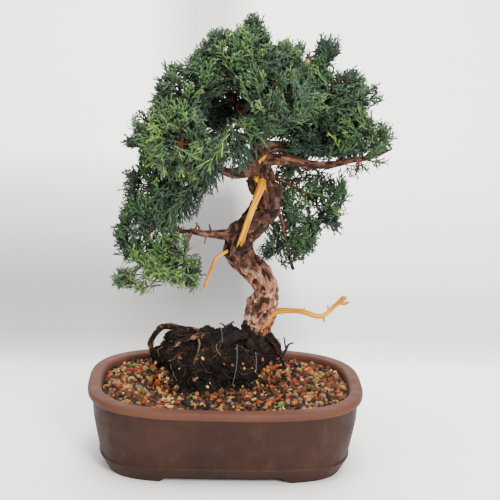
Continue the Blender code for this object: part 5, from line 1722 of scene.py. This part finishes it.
def deal_tints(starts, space, light, rng):
    """A colour for each spray, as painted shade and light: dark deep in the crown and under it, lighter
    towards its skin.
    """
    middles = np.array([(root + axis * length * 0.6)[:] for root, axis, length in starts])
    step = np.array((0.0, 0.0, UNDERSIDE_STEP))
    under = space.fullness(middles + step) - space.fullness(middles - step)
    shaded = np.zeros(len(middles))
    for centre, half, share in SHADES:
        apart = np.linalg.norm((middles - np.array(centre)) / np.array(half), axis=1)
        shaded += share * np.clip(1.6 - 1.1 * apart, 0.0, 1.0)
    chosen = []
    for depth, cover in zip(space.depth(middles) - shaded, under):
        draw = rng.random()
        depth += rng.gauss(0, 0.07) - UNDERSIDE_SHADE * (1 - light) * min(1.0, max(0.0, cover))
        if depth < DEPTHS[0]:
            chosen.append(DEEP_SHADE)
        elif depth < DEPTHS[1]:
            chosen.append(SHADE)
        elif depth < DEPTHS[2]:
            chosen.append(MID if draw < 0.5 + 0.3 * light else SHADE)
        elif draw < light * 0.35:
            chosen.append(FRESH_AND_LIT)
        elif draw < light:
            chosen.append(LEAF)
        else:
            chosen.append(MID if draw < light + (1 - light) * 0.7 else SHADE)
    return np.array(chosen)


def make_leaves(name, starts, droop, tints, paints, rng, *nodes):
    """One piece of leaf cords, from its sprays."""
    parts, indices = [], []
    for *shape, tint in spray_cords(starts, droop, tints, rng):
        points, faces, each = cord_tubes(*shape)
        parts.append((points, faces))
        indices.append(np.repeat(tint, each))
    leaves = add_mesh(name + "_leaves", *join_parts(parts), paints, indices=np.concatenate(indices))
    dress(leaves, "foliage_finish", *nodes)


def make_twigs(name, twigs, paint):
    """One piece of twigs."""
    parts = [twig_tube(*twig) for twig in twigs]
    dress(add_mesh(name + "_twigs", *join_parts(parts), [paint]), "bough_finish")


def make_foliage():
    """Leaves and twigs for each mass, and for the sprigs on the boughs."""
    space = Space()
    # A material for each tint: the leaves' colour with painted shade and painted light.
    paints = [paint_foliage(name, colour) for name, colour in TINTS.items()]
    twig_paint = paint_twig()
    for index, name in enumerate(MASSES):
        style = {**PLAIN_STYLE, **STYLES.get(name, {})}
        seed = SEED * 100 + index
        rng = random.Random(seed)
        twigs, tips = grow_twigs(name, style, rng)
        starts = spray_starts(name, space, style, tips, rng)
        tints = deal_tints(starts, space, style["light"], rng)
        make_leaves(name, starts, style["droop"], tints, paints, np.random.default_rng(seed), name)
        make_twigs(name, twigs, twig_paint)
    rng = random.Random(SEED)
    twigs, starts = sprig_starts(space, rng)
    tints = deal_tints(starts, space, SPRIG_LIGHT, rng)
    make_leaves("sprigs", starts, SPRIG_DROOP, tints, paints, np.random.default_rng(SEED))
    make_twigs("sprigs", twigs, twig_paint)


# ---------------------------------------------------------------- everything


def write_sizes():
    """The boxes of the model and of the finished scene."""
    boxes = {"cad": CAD_BOX, "visual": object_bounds()}
    {key: [list(corner) for corner in box] for key, box in boxes.items()}


def main():
    """Everything in the scene, and then the sizes."""
    noise.seed_set(SEED)  # without it the warp of the bark differs from run to run
    make_camera()
    make_studio()
    make_pot()
    make_mound()
    make_grit()
    bark = paint_bark("trunk_bark", LOW_TRUNK, HIGH_TRUNK, (0.130, 0.168), "foot")
    bough = paint_bark("bough_bark", BOUGH_TONES, BOUGH_TONES, (0.1, 0.2), None)
    root = paint_bark("root_bark", ROOT_TONES, ROOT_TONES, (0.1, 0.2), "patches")
    make_trunk(bark)
    make_limbs(ROOTS, "_bark", "root_finish", root, 1.0, lumps=0.17, lump_size=6.0, cell=2.4)
    make_limbs(BOUGHS, "_bark", "bough_finish", bough, 0.6, cell=2.4)
    slim = {name: [(*station[:3], station[3] * DEADWOOD_SLIMNESS) for station in stations]
            for name, stations in DEADWOOD.items()}
    make_limbs(slim, "_wood", "deadwood_finish", paint_deadwood(), 0.3, lumps=0.1, cell=2.6, stretch=7.0,
               torn_end=1.0)
    make_limbs(WIRES, "_strand", "wire_finish", paint_wire(), 0.0, lumps=0.0)
    make_foliage()
    write_sizes()


main()
